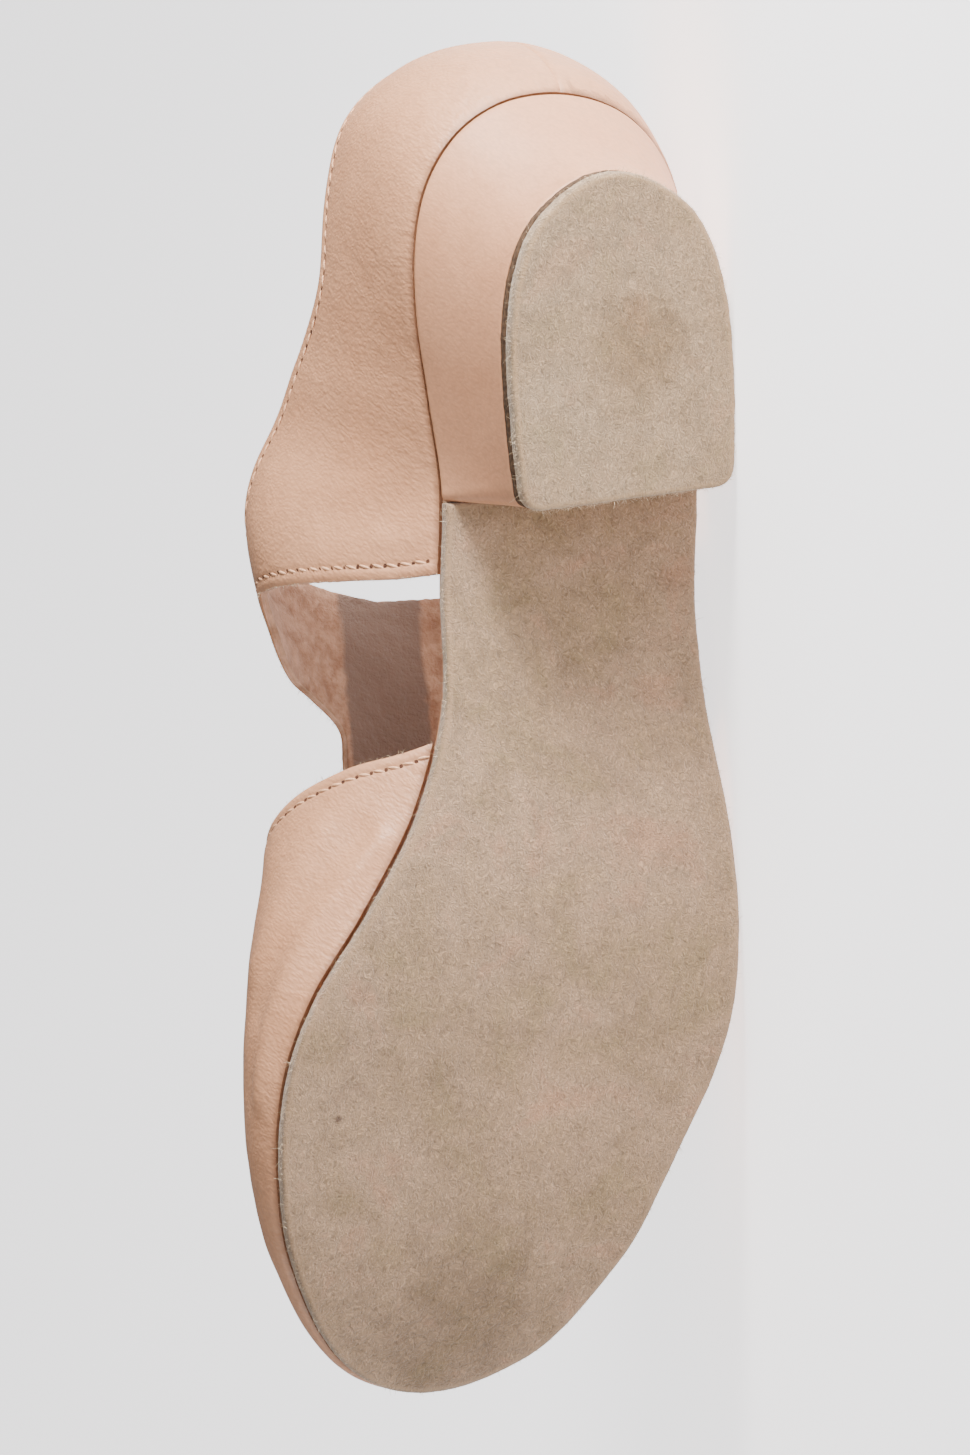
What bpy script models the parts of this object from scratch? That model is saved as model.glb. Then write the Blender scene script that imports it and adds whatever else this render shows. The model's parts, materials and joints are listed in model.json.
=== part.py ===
"""Dance teaching sandal, right shoe, at its real size, lying on its outer side.

The shoe is worked out standing on its tread: x runs from the back of the heel seat to the toe,
y towards the inner side of the foot and z up from the tread. The last part of the script lays
it down on its outer side with the toe towards -X and the sole towards -Y.
"""

import math

import bmesh
import bpy
import numpy as np
from mathutils import Matrix, Vector
from mathutils.geometry import delaunay_2d_cdt

# Driving dimensions, in metres
SOLE_LENGTH = 0.2303
BALL_WIDTH = 0.0835
SEAT_HEIGHT = 0.0283
TOE_SPRING = 0.0072
INSTEP_HEIGHT = 0.0745
UPPER_WALL = 0.0016
SOLE_THICKNESS = 0.0023
INSOLE_THICKNESS = 0.0020
TOP_PIECE_THICKNESS = 0.0026
LIFT_THICKNESS = 0.0016
TIP_LENGTH = 0.0575
TIP_WIDTH = 0.0428
TIP_SET_IN = 0.0114
HEEL_OFF_CENTRE = 0.0044
BAR_WIDTH = 0.0196
STRAP_WIDTH = 0.0155
SOLE_TRIM = 0.0004
HEEL_TRIM = 0.0003
CORNER_RADIUS = 0.0040
GAP = 0.0003

# Angles and the length of the facets
HEEL_TURN = math.radians(-9.5)
SHARP_EDGE = math.radians(35.0)
SHARP_FOLD = math.radians(50.0)
FACET = 0.0056
EDGE_FACET = 0.0038
EPSILON = 1e-7

# Spacing of the inner points, as shares of the facets' length
FIRST_ROW = (0.95, 0.50)
ROW_STEP = 0.90
LEAST_STEP = 0.72
BOARD_COLUMN_STEP = 1.70
BOARD_ROW_STEP = 2.20
BOARD_EDGE_CLEAR = 0.35

# Counts of places at which curves are read
RIB_STEPS = 40
PATTERN_STEPS = 24
CURVE_STEPS = 40
FOOT_STEPS = 600
BREAST_STEPS = 800
BAR_PLACES = 5
HEEL_PLACES = 25
CORNER_PLACES = 5
BREAST_PLACES = 4

# A hull face counts as the outer side where its normal has more than this of the sideways axis
OUTER_SIDE_LEAN = 0.7

# Small steps along the ridge, in stations, and round the outline, in radians, to read a slope
RIDGE_STEP = 0.005
TURN_STEP = 1e-4

# Outline of the lasted upper where it meets the sole: station along the length from the heel,
# middle and half width as shares of the ball width
OUTLINE = (
    # station, middle, half width
    (0.000, -0.055, 0.000),
    (0.013, -0.054, 0.156),
    (0.043, -0.051, 0.253),
    (0.087, -0.052, 0.310),
    (0.130, -0.060, 0.328),
    (0.174, -0.075, 0.331),
    (0.239, -0.103, 0.317),
    (0.304, -0.127, 0.303),
    (0.391, -0.122, 0.302),
    (0.465, -0.128, 0.313),
    (0.547, -0.114, 0.369),
    (0.621, -0.069, 0.437),
    (0.690, -0.011, 0.492),
    (0.738, 0.024, 0.498),
    (0.782, 0.053, 0.479),
    (0.834, 0.076, 0.443),
    (0.873, 0.086, 0.407),
    (0.916, 0.095, 0.341),
    (0.960, 0.099, 0.250),
    (0.986, 0.110, 0.150),
    (1.000, 0.115, 0.000),
)

# Underside of the sole from the seat down the shank to the tread, as shares of the seat's rise
SHANK = (
    # station, height
    (0.000, 1.000),
    (0.130, 0.945),
    (0.300, 0.830),
    (0.370, 0.700),
    (0.434, 0.525),
    (0.500, 0.330),
    (0.565, 0.160),
    (0.630, 0.050),
    (0.700, 0.000),
)
TREAD_START = 0.700
TREAD_END = 0.830

# Where the rib that stands at each station of the outline meets the ridge of the instep
SPINE = (
    # station of its foot, station on the ridge
    (0.000, 0.152),
    (0.087, 0.174),
    (0.174, 0.217),
    (0.261, 0.278),
    (0.347, 0.356),
    (0.434, 0.439),
    (0.547, 0.547),
    (0.651, 0.647),
    (0.738, 0.725),
    (0.825, 0.795),
    (0.912, 0.851),
    (0.960, 0.875),
    (1.000, 0.890),
)

# Ridge of the last: height as a share of the instep height, sideways as a share of ball width
RIDGE = (
    # station, height, sideways
    (0.150, 1.340, -0.065),
    (0.260, 1.300, -0.050),
    (0.347, 1.170, -0.020),
    (0.434, 1.000, 0.012),
    (0.521, 0.866, 0.018),
    (0.586, 0.775, 0.020),
    (0.651, 0.690, 0.024),
    (0.716, 0.605, 0.040),
    (0.782, 0.530, 0.060),
    (0.847, 0.458, 0.080),
    (0.890, 0.415, 0.092),
)

# Shape of the ribs: swell of the wall above the sole and reach of the top, shares of the ball
# width, and rise of the wall, share of the instep height
RIBS = (
    # station, inner swell, outer swell, rise, inner reach, outer reach
    (0.000, 0.212, 0.212, 0.270, 0.420, 0.420),
    (0.043, 0.148, 0.135, 0.260, 0.400, 0.410),
    (0.087, 0.092, 0.085, 0.250, 0.400, 0.430),
    (0.174, 0.070, 0.040, 0.240, 0.460, 0.500),
    (0.261, 0.150, 0.095, 0.280, 0.500, 0.620),
    (0.369, 0.260, 0.150, 0.330, 0.550, 0.780),
    (0.478, 0.235, 0.150, 0.300, 0.440, 0.560),
    (0.547, 0.245, 0.135, 0.270, 0.420, 0.440),
    (0.621, 0.225, 0.125, 0.245, 0.440, 0.400),
    (0.725, 0.118, 0.125, 0.228, 0.370, 0.350),
    (0.825, 0.080, 0.100, 0.190, 0.290, 0.300),
    (0.934, 0.045, 0.070, 0.160, 0.230, 0.240),
    (1.000, 0.040, 0.040, 0.150, 0.200, 0.200),
)

# Edge of the side openings, from the sole up the quarter, along the front of the cross strap
# and, after the bar, back down the vamp to the sole
OPENING_REAR = (
    # inner station, outer station, share up the rib
    (0.371, 0.335, 0.00),
    (0.380, 0.344, 0.08),
    (0.388, 0.353, 0.18),
    (0.400, 0.366, 0.34),
    (0.411, 0.380, 0.47),
    (0.420, 0.393, 0.555),
    (0.436, 0.414, 0.605),
    (0.465, 0.446, 0.655),
    (0.486, 0.470, 0.730),
    (0.500, 0.487, 0.815),
)
OPENING_FRONT = (
    # inner station, outer station, share up the rib
    (0.629, 0.621, 0.810),
    (0.630, 0.620, 0.740),
    (0.621, 0.606, 0.650),
    (0.605, 0.584, 0.540),
    (0.585, 0.560, 0.420),
    (0.561, 0.532, 0.300),
    (0.533, 0.502, 0.170),
    (0.511, 0.475, 0.060),
    (0.496, 0.460, 0.00),
)
BAR_START = 0.525
BAR_END = 0.610
STRAP_FRONT = 0.490

# Collar, from the back of the heel to the middle of the cross strap
COLLAR = (
    # share of the way to the strap, inner share up the rib, outer share up the rib
    (0.000, 0.510, 0.510),
    (0.110, 0.490, 0.490),
    (0.250, 0.440, 0.430),
    (0.400, 0.402, 0.385),
    (0.500, 0.428, 0.405),
    (0.600, 0.468, 0.440),
    (0.700, 0.520, 0.490),
    (0.800, 0.585, 0.560),
    (0.870, 0.640, 0.620),
    (0.925, 0.710, 0.695),
    (0.965, 0.800, 0.790),
    (0.990, 0.900, 0.900),
    (1.000, 1.000, 1.000),
)

# Walking end of the heel, round at the back and square at the breast
TIP = (
    # share of its length, half width as a share of its width
    (0.000, 0.000),
    (0.045, 0.198),
    (0.150, 0.366),
    (0.375, 0.480),
    (0.720, 0.500),
    (1.000, 0.476),
)
HEEL_STEPS = (0.0, 0.14, 0.32, 0.52, 0.74, 1.0)

# How the heel block widens from its tip to the seat: over 1 it flares late
HEEL_FLARE = 1.25

# Colour, roughness and density of the materials, density in kg per cubic metre
LEATHER = ("lambskin_peach", (0.78, 0.50, 0.36), 0.48, 750.0)
HEEL_LEATHER = ("lambskin_over_heel", (0.80, 0.54, 0.40), 0.42, 620.0)
SUEDE = ("suede_sole", (0.42, 0.30, 0.20), 0.95, 900.0)
LIFT_BOARD = ("dark_lift_board", (0.10, 0.055, 0.035), 0.70, 950.0)
HEEL_SUEDE = ("suede_top_piece", (0.38, 0.32, 0.25), 0.95, 900.0)
SOCK = ("leather_sock", (0.70, 0.48, 0.34), 0.60, 800.0)


def table_columns(table):
    """The columns of a table as arrays."""
    return [np.array(column) for column in zip(*table)]


def smooth(knots, values, at):
    """A smooth curve through the rows of a table, read at these places."""
    slopes = np.gradient(values, knots)
    at = np.clip(at, knots[0], knots[-1])
    row = np.clip(np.searchsorted(knots, at, side="right") - 1, 0, len(knots) - 2)
    span = knots[row + 1] - knots[row]
    u = (at - knots[row]) / span
    start = (2 * u**3 - 3 * u**2 + 1) * values[row] + (u**3 - 2 * u**2 + u) * span * slopes[row]
    end = (3 * u**2 - 2 * u**3) * values[row + 1] + (u**3 - u**2) * span * slopes[row + 1]
    return start + end


def angle_of(station):
    """Station along the length as an angle, which makes the rounded ends smooth."""
    return np.arccos(1 - 2 * np.clip(np.asarray(station, dtype=float), 0.0, 1.0))


def station_of(turn):
    return (1 - np.cos(turn)) / 2


def round_ended(stations, values, turn, odd=False):
    """A column read round the outline: it mirrors past the heel and past the toe."""
    knots = angle_of(stations)
    sign = -1.0 if odd else 1.0
    before = -knots[1:4][::-1]
    after = 2 * math.pi - knots[-4:-1][::-1]
    all_knots = np.concatenate((before, knots, after))
    all_values = np.concatenate((sign * values[1:4][::-1], values, sign * values[-4:-1][::-1]))
    return smooth(all_knots, all_values, turn)


def underside(x):
    """Height of the sole's underside: shank, flat tread and toe spring."""
    station = np.asarray(x, dtype=float) / SOLE_LENGTH
    stations, heights = table_columns(SHANK)
    seat_rise = SEAT_HEIGHT - SOLE_THICKNESS - GAP
    shank = np.where(station < TREAD_START, smooth(stations, heights, station), 0.0)
    lift = np.clip((station - TREAD_END) / (1 - TREAD_END), 0.0, None)
    return seat_rise * shank + TOE_SPRING * lift**2


def feather_height(x):
    """Height of the feather line, where the upper meets the sole or the heel seat."""
    return underside(x) + SOLE_THICKNESS + GAP


def outline_point(turn):
    """Plan of the feather line, from the heel along the inner side to the toe and back."""
    turn = np.asarray(turn, dtype=float) % (2 * math.pi)
    inner = np.where(turn > math.pi, 2 * math.pi - turn, turn)
    side = np.where(turn > math.pi, -1.0, 1.0)
    stations, middle, half = table_columns(OUTLINE)
    across = round_ended(stations, middle, inner) + side * round_ended(stations, half, inner, True)
    return np.stack((SOLE_LENGTH * station_of(inner), BALL_WIDTH * across), axis=-1)


def outline_normal(turn):
    """Outward direction of the feather line in plan."""
    run = outline_point(turn + TURN_STEP) - outline_point(turn - TURN_STEP)
    run /= np.linalg.norm(run, axis=-1, keepdims=True)
    return np.stack((-run[..., 1], run[..., 0]), axis=-1)


def ridge_point(station):
    stations, heights, sideways = table_columns(RIDGE)
    return np.stack(
        (
            SOLE_LENGTH * station,
            BALL_WIDTH * smooth(stations, sideways, station),
            INSTEP_HEIGHT * smooth(stations, heights, station),
        ),
        axis=-1,
    )


def along_the_length(points):
    """Distance run along a line of points, from zero at the first."""
    return np.concatenate(([0.0], np.cumsum(np.linalg.norm(np.diff(points, axis=0), axis=1))))


def rib_cage(turn):
    """Four control points of the rib at each turn, from the feather line to the ridge."""
    turn = np.asarray(turn, dtype=float) % (2 * math.pi)
    inner = np.where(turn > math.pi, 2 * math.pi - turn, turn)
    is_inner = turn <= math.pi
    foot_plan = outline_point(turn)
    foot = np.concatenate((foot_plan, feather_height(foot_plan[..., :1])), axis=-1)
    feet, tops = table_columns(SPINE)
    station = round_ended(feet, tops, inner)
    top = ridge_point(station)
    ahead = ridge_point(station + RIDGE_STEP)
    behind = ridge_point(station - RIDGE_STEP)
    slope = (ahead - behind)[..., 2] / (ahead - behind)[..., 0]
    stations, *columns = table_columns(RIBS)
    swell_in, swell_out, rise, reach_in, reach_out = (
        round_ended(stations, column, inner) for column in columns
    )
    swell = np.where(is_inner, swell_in, swell_out)
    reach = np.where(is_inner, reach_in, reach_out)
    normal = outline_normal(turn)
    low = foot.copy()
    low[..., :2] += BALL_WIDTH * swell[..., None] * normal
    low[..., 2] += INSTEP_HEIGHT * rise
    away = foot[..., :2] - top[..., :2]
    away /= np.linalg.norm(away, axis=-1, keepdims=True)
    high = top.copy()
    high[..., :2] += BALL_WIDTH * reach[..., None] * away
    high[..., 2] += slope * BALL_WIDTH * reach * away[..., 0]
    return foot, low, high, top, away


def last_point(turn, share):
    """Point of the last's surface, this share of the way up the rib at this turn."""
    foot, low, high, top, away = rib_cage(turn)
    h = np.asarray(share, dtype=float)[..., None]
    return (1 - h) ** 3 * foot + 3 * (1 - h) ** 2 * h * low + 3 * (1 - h) * h**2 * high + h**3 * top


def flat_pattern(turn, share):
    """The upper flattened about the ridge, with each rib laid straight out at its length."""
    foot, low, high, top, away = rib_cage(turn)
    steps = np.linspace(0.0, 1.0, PATTERN_STEPS + 1)
    up = share[:, None] + (1 - share[:, None]) * steps
    along = last_point(np.repeat(turn[:, None], len(steps), axis=1), up)
    length = np.linalg.norm(np.diff(along, axis=1), axis=-1).sum(axis=1)
    return top[:, :2] + away * length[:, None]


def signed_turn(station, inner):
    turn = angle_of(station)
    return turn if inner else 2 * math.pi - turn


def through(places, facet):
    """Even steps along the surface on a smooth curve through these turns and shares."""
    places = np.array(places, dtype=float)
    run = along_the_length(last_point(places[:, 0], places[:, 1]))
    fine = np.linspace(0.0, run[-1], CURVE_STEPS * len(places))
    line = np.stack((smooth(run, places[:, 0], fine), smooth(run, places[:, 1], fine)), axis=1)
    way = along_the_length(last_point(line[:, 0], line[:, 1]))
    even = np.linspace(0.0, way[-1], max(2, round(way[-1] / facet)) + 1)
    return np.stack((np.interp(even, way, line[:, 0]), np.interp(even, way, line[:, 1])), axis=1)


def bar_share(station, inner):
    """How far up the rib the T-bar's edge lies at this station, half its width off the ridge."""
    shares = np.linspace(0.5, 1.0, 101)
    spots = last_point(np.full(len(shares), signed_turn(station, inner)), shares)
    off_ridge = np.linalg.norm(spots - spots[-1], axis=1)
    return float(np.interp(-BAR_WIDTH / 2, -off_ridge, shares))


def opening_edge(inner, facet):
    """Edge of one side opening, from the quarter's foot to the vamp's foot."""
    column = 0 if inner else 1
    rear = [(signed_turn(row[column], inner), row[2]) for row in OPENING_REAR]
    front = [(signed_turn(row[column], inner), row[2]) for row in OPENING_FRONT]
    bar = []
    for station in np.linspace(BAR_START, BAR_END, BAR_PLACES):
        bar.append((signed_turn(station, inner), bar_share(station, inner)))
    return through(rear + bar + front, facet)


def collar_edge(facet):
    """Closed edge of the collar, from the heel along the inner side, over and back."""
    strap_back = STRAP_FRONT - STRAP_WIDTH / SOLE_LENGTH
    inner = [(signed_turn(row[0] * strap_back, True), row[1]) for row in COLLAR]
    outer = [(signed_turn(row[0] * strap_back, False), row[2]) for row in COLLAR]
    inner_line = through(inner, facet)
    outer_line = through(outer, facet)[::-1]
    return inner_line, outer_line


def foot_line(start, end, facet):
    """Places along the feather line between two turns."""
    fine = np.linspace(start, end, FOOT_STEPS)
    way = along_the_length(last_point(fine, np.zeros(len(fine))))
    even = np.linspace(0.0, way[-1], max(2, round(way[-1] / facet)) + 1)
    turns = np.interp(even, way, fine)
    return np.stack((turns, np.zeros(len(turns))), axis=1)


def inside(points, loops):
    """Which points lie inside the first loop and outside the others."""
    odd = np.zeros(len(points), dtype=bool)
    for loop in loops:
        ahead = np.roll(loop, -1, axis=0)
        for start, end in zip(loop, ahead):
            crosses = (start[1] > points[:, 1]) != (end[1] > points[:, 1])
            rise = end[1] - start[1] if end[1] != start[1] else EPSILON
            x_at = start[0] + (points[:, 1] - start[1]) * (end[0] - start[0]) / rise
            odd ^= crosses & (points[:, 0] < x_at)
    return odd


def thinned(places, taken, least):
    """The places whose points on the surface keep this distance from each other."""
    cells = {}
    kept = []

    def cell_of(spot):
        return tuple(int(math.floor(value / least)) for value in spot)

    def is_clear(spot):
        base = cell_of(spot)
        for dx in (-1, 0, 1):
            for dy in (-1, 0, 1):
                for dz in (-1, 0, 1):
                    for other in cells.get((base[0] + dx, base[1] + dy, base[2] + dz), ()):
                        if np.linalg.norm(other - spot) < least:
                            return False
        return True

    for spot in taken:
        cells.setdefault(cell_of(spot), []).append(spot)
    spots = last_point(places[:, 0], places[:, 1])
    for place, spot in zip(places, spots):
        if is_clear(spot):
            cells.setdefault(cell_of(spot), []).append(spot)
            kept.append(place)
    return np.array(kept)


def triangles(points, loops):
    """Delaunay triangles of the points inside closed loops, which come first among the points."""
    edges = []
    start = 0
    for loop in loops:
        count = len(loop)
        edges += [(start + i, start + (i + 1) % count) for i in range(count)]
        start += count
    found = delaunay_2d_cdt([Vector(point) for point in points], edges, [], 1, EPSILON)
    origin = [source[0] for source in found[3]]
    faces = np.array([[origin[i] for i in face] for face in found[2]])
    corners = points[faces]
    kept = inside(corners.mean(axis=1), loops)
    return faces[kept]


def upper_places(facet, edge_facet):
    """Places of the upper's sheet, its closed edges first, and the triangles between them."""
    inner_edge = opening_edge(True, edge_facet)
    outer_edge = opening_edge(False, edge_facet)
    collar_inner, collar_outer = collar_edge(edge_facet)
    seat = foot_line(outer_edge[0, 0] - 2 * math.pi, inner_edge[0, 0], facet)
    vamp = foot_line(inner_edge[-1, 0], outer_edge[-1, 0], facet)
    rim = np.concatenate((seat[:-1], inner_edge[:-1], vamp[:-1], outer_edge[::-1][:-1]))
    collar = np.concatenate((collar_inner[:-1], collar_outer[:-1]))
    loops = [flat_pattern(rim[:, 0], rim[:, 1]), flat_pattern(collar[:, 0], collar[:, 1])]
    borders = np.concatenate((rim, collar))
    feet = foot_line(0.0, 2 * math.pi, facet)[:-1, 0]
    steps = np.linspace(0.0, 1.0, RIB_STEPS + 1)
    grid = []
    for number, turn in enumerate(feet):
        way = along_the_length(last_point(np.full(len(steps), turn), steps))
        levels = np.arange(FIRST_ROW[number % 2] * facet, way[-1], ROW_STEP * facet)
        grid += [(turn, share) for share in np.interp(levels, way, steps)]
    grid = np.array(grid)
    flat = flat_pattern(grid[:, 0], grid[:, 1])
    grid = grid[inside(flat, loops)]
    taken = last_point(borders[:, 0], borders[:, 1])
    grid = thinned(grid, taken, LEAST_STEP * facet)
    places = np.concatenate((borders, grid))
    return places, triangles(flat_pattern(places[:, 0], places[:, 1]), loops)


def material(recipe):
    name, colour, roughness, _ = recipe
    made = bpy.data.materials.get(name) or bpy.data.materials.new(name)
    made.use_nodes = True
    shader = made.node_tree.nodes["Principled BSDF"]
    shader.inputs["Base Color"].default_value = (*colour, 1.0)
    shader.inputs["Roughness"].default_value = roughness
    shader.inputs["Metallic"].default_value = 0.0
    return made


def add_mesh(name, vertices, faces, recipe, smooth_angle):
    corners = [tuple(vertex) for vertex in vertices]
    mesh = bpy.data.meshes.new(name)
    mesh.from_pydata(corners, [], [tuple(map(int, face)) for face in faces])
    mesh.materials.append(material(recipe))
    mesh.shade_smooth()
    mesh.set_sharp_from_angle(angle=smooth_angle)
    made = bpy.data.objects.new(name, mesh)
    SHOE.objects.link(made)
    made.parent = STANCE
    return made


def ring_solid(name, rings, inner_plan, floor_height, roof_height, recipe):
    """A solid between stacked rings, its floor and roof triangulated over the inner points."""
    count = len(rings[0])
    vertices = [point for ring in rings for point in ring]
    faces = []
    for level in range(len(rings) - 1):
        for i in range(count):
            j = (i + 1) % count
            low, high = level * count, (level + 1) * count
            faces.append((low + i, low + j, high + j, high + i))
    for ring, height, is_roof, base in (
        (rings[0], floor_height, False, 0),
        (rings[-1], roof_height, True, (len(rings) - 1) * count),
    ):
        plan = ring[:, :2]
        kept = inner_plan[inside(inner_plan, [plan])] if len(inner_plan) else inner_plan
        if len(kept):
            gaps = np.linalg.norm(kept[:, None] - plan[None], axis=-1).min(axis=1)
            kept = kept[gaps > BOARD_EDGE_CLEAR * FACET]
        points = np.concatenate((plan, kept)) if len(kept) else plan
        start = len(vertices)
        heights = height(kept[:, 0]) if len(kept) else ()
        vertices += [(x, y, z) for (x, y), z in zip(kept, heights)]
        for face in triangles(points, [plan]):
            named = [base + i if i < count else start + i - count for i in face]
            faces.append(named if is_roof else named[::-1])
    return add_mesh(name, vertices, faces, recipe, SHARP_EDGE)


def counter_clockwise(ring):
    x, y = ring[:, 0], ring[:, 1]
    area = np.sum(x * np.roll(y, -1) - y * np.roll(x, -1))
    return ring if area > 0 else ring[::-1]


def board_grid():
    """Inner points of the soles: columns across the shoe, two of them at the tread's ends."""
    tread = np.array((TREAD_START, TREAD_END)) * SOLE_LENGTH
    columns = np.arange(0.0, SOLE_LENGTH, BOARD_COLUMN_STEP * FACET)
    clear = np.abs(columns[:, None] - tread).min(axis=1) > LEAST_STEP * FACET
    rows = np.arange(-0.6 * BALL_WIDTH, 0.6 * BALL_WIDTH, BOARD_ROW_STEP * FACET)
    return np.array([(x, y) for x in (*columns[clear], *tread) for y in rows])


def heel_axis():
    along = np.array((math.cos(HEEL_TURN), math.sin(HEEL_TURN)))
    across = np.array((-along[1], along[0]))
    return along, across


def breast_turn(inner):
    """The turn at which the feather line reaches the heel's breast."""
    along, _ = heel_axis()
    turns = np.linspace(0.0, 0.5 * math.pi, BREAST_STEPS)
    if not inner:
        turns = 2 * math.pi - turns
    reached = (outline_point(turns) - outline_point(0.0)) @ along
    return float(np.interp(TIP_SET_IN + TIP_LENGTH, reached, turns))


def round_corners(ring, corners, radius):
    """The ring with these corners cut back and rounded by a short arc."""
    made = []
    for i, point in enumerate(ring):
        if i not in corners:
            made.append(point)
            continue
        before = ring[i - 1] - point
        after = ring[(i + 1) % len(ring)] - point
        start = point + before / np.linalg.norm(before) * radius
        end = point + after / np.linalg.norm(after) * radius
        for u in np.linspace(0.0, 1.0, CORNER_PLACES):
            made.append((1 - u) ** 2 * start + 2 * (1 - u) * u * point + u**2 * end)
    return np.array(made)


def seat_ring():
    """Plan of the heel block's top, from the inner breast corner round the back to the outer."""
    inner = breast_turn(True)
    outer = breast_turn(False) - 2 * math.pi
    ways = np.linspace(1.0, -1.0, HEEL_PLACES)
    turns = np.where(ways > 0, inner * ways, -outer * ways)
    return outline_point(turns) - HEEL_TRIM * outline_normal(turns)


def tip_ring():
    """Plan of the heel's walking end, point for point with the seat's ring."""
    along, across = heel_axis()
    shares, halves = table_columns(TIP)
    ways = np.linspace(1.0, -1.0, HEEL_PLACES)
    angle = np.abs(ways) * math.pi / 2
    knots = np.arccos(1 - shares)
    round_knots = np.concatenate((-knots[2:0:-1], knots))
    round_halves = np.concatenate((-halves[2:0:-1], halves))
    half = TIP_WIDTH * smooth(round_knots, round_halves, angle)
    length = TIP_SET_IN + TIP_LENGTH * (1 - np.cos(angle))
    back = outline_point(0.0) + HEEL_OFF_CENTRE * across
    return back + length[:, None] * along + (np.sign(ways) * half)[:, None] * across


def with_height(plan, height):
    heights = np.broadcast_to(height, len(plan))
    return np.concatenate((plan, heights[:, None]), axis=1)


def heel_ring(share):
    """One ring of the heel block, this share of the way up from the tip to the seat."""
    pull = share**HEEL_FLARE
    plan = (1 - pull) * tip_ring() + pull * seat_ring()
    plan = counter_clockwise(plan)
    corners = {0, len(plan) - 1}
    return round_corners(plan, corners, CORNER_RADIUS)


def build_upper():
    places, faces = upper_places(FACET, EDGE_FACET)
    points = last_point(places[:, 0], places[:, 1])
    upper = add_mesh("upper", points, faces, LEATHER, SHARP_FOLD)
    wall = upper.modifiers.new("wall", "SOLIDIFY")
    wall.thickness = UPPER_WALL
    wall.offset = -1.0
    wall.use_even_offset = True
    return upper


def build_insole():
    turns = foot_line(0.0, 2 * math.pi, FACET)[:-1, 0]
    plan = counter_clockwise(outline_point(turns) - (UPPER_WALL + GAP) * outline_normal(turns))
    low = with_height(plan, feather_height(plan[:, 0]))
    high = low + np.array((0.0, 0.0, INSOLE_THICKNESS))
    return ring_solid(
        "insole",
        [low, high],
        board_grid(),
        feather_height,
        lambda x: feather_height(x) + INSOLE_THICKNESS,
        SOCK,
    )


def build_outsole():
    along, _ = heel_axis()
    turns = foot_line(breast_turn(True), breast_turn(False), FACET)[:, 0]
    plan = outline_point(turns) - SOLE_TRIM * outline_normal(turns) + GAP * along
    breast = np.linspace(plan[-1], plan[0], BREAST_PLACES + 2)[1:-1]
    plan = counter_clockwise(np.concatenate((plan, breast)))
    low = with_height(plan, underside(plan[:, 0]))
    high = low + np.array((0.0, 0.0, SOLE_THICKNESS))
    return ring_solid(
        "outsole",
        [low, high],
        board_grid(),
        underside,
        lambda x: underside(x) + SOLE_THICKNESS,
        SUEDE,
    )


def build_heel():
    base = TOP_PIECE_THICKNESS + LIFT_THICKNESS + 2 * GAP
    rings = []
    for share in HEEL_STEPS:
        plan = heel_ring(share)
        seat = feather_height(plan[:, 0]) - GAP
        rings.append(with_height(plan, base + share * (seat - base)))
    return ring_solid(
        "heel_block",
        rings,
        board_grid(),
        lambda x: np.full(len(x), base),
        lambda x: feather_height(x) - GAP,
        HEEL_LEATHER,
    )


def build_slab(name, low, thickness, recipe):
    plan = heel_ring(0.0)
    rings = [with_height(plan, low), with_height(plan, low + thickness)]
    return ring_solid(name, rings, np.empty((0, 2)), None, None, recipe)


def body_points(made):
    """Corners of an object's evaluated triangles, in the shoe's frame."""
    graph = bpy.context.evaluated_depsgraph_get()
    mesh = bpy.data.meshes.new_from_object(made.evaluated_get(graph))
    mesh.calc_loop_triangles()
    corners = np.array([[mesh.vertices[i].co for i in tri.vertices] for tri in mesh.loop_triangles])
    bpy.data.meshes.remove(mesh)
    return corners


def weigh(parts):
    """Mass and centre of mass of the parts."""
    total, moment = 0.0, np.zeros(3)
    for made, recipe in parts:
        corners = body_points(made)
        volumes = np.einsum("ij,ij->i", corners[:, 0], np.cross(corners[:, 1], corners[:, 2])) / 6
        mass = recipe[3] * volumes.sum()
        moment += recipe[3] * (volumes[:, None] * corners.mean(axis=1) * 0.75).sum(axis=0)
        total += mass
    return total, moment / total


def side_it_rests_on(parts):
    """Normal of the hull face on the outer side that the centre of mass stands over."""
    _, centre = weigh(parts)
    centre = Vector(centre)
    rests_on = None
    hull = bmesh.new()
    for made, _ in parts:
        for point in np.unique(body_points(made).reshape(-1, 3), axis=0):
            hull.verts.new(point)
    bmesh.ops.convex_hull(hull, input=hull.verts)
    for face in hull.faces:
        normal = face.normal.copy()
        corners = [vertex.co for vertex in face.verts]
        spot = centre + normal * normal.dot(corners[0] - centre)
        turns = []
        for i, corner in enumerate(corners):
            edge = corners[(i + 1) % len(corners)] - corner
            turns.append(edge.cross(spot - corner).dot(normal))
        if -normal.y > OUTER_SIDE_LEAN and min(turns) >= 0.0:
            rests_on = normal
    hull.free()
    return rests_on


def lay_down(parts):
    """Lays the shoe on its outer side, toe towards -X and sole towards -Y, base at the origin."""
    up = -side_it_rests_on(parts)
    ahead = Vector((1.0, 0.0, 0.0))
    x_axis = -(ahead - up * ahead.dot(up)).normalized()
    y_axis = up.cross(x_axis)
    turn = Matrix((x_axis, y_axis, up))
    points = np.concatenate([body_points(made).reshape(-1, 3) for made, _ in parts])
    laid = points @ np.array(turn).T
    low, high = laid.min(axis=0), laid.max(axis=0)
    shift = Vector((-(low[0] + high[0]) / 2, -(low[1] + high[1]) / 2, -low[2]))
    STANCE.matrix_world = Matrix.Translation(shift) @ turn.to_4x4()


for old in list(bpy.data.objects):
    bpy.data.objects.remove(old, do_unlink=True)

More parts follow.
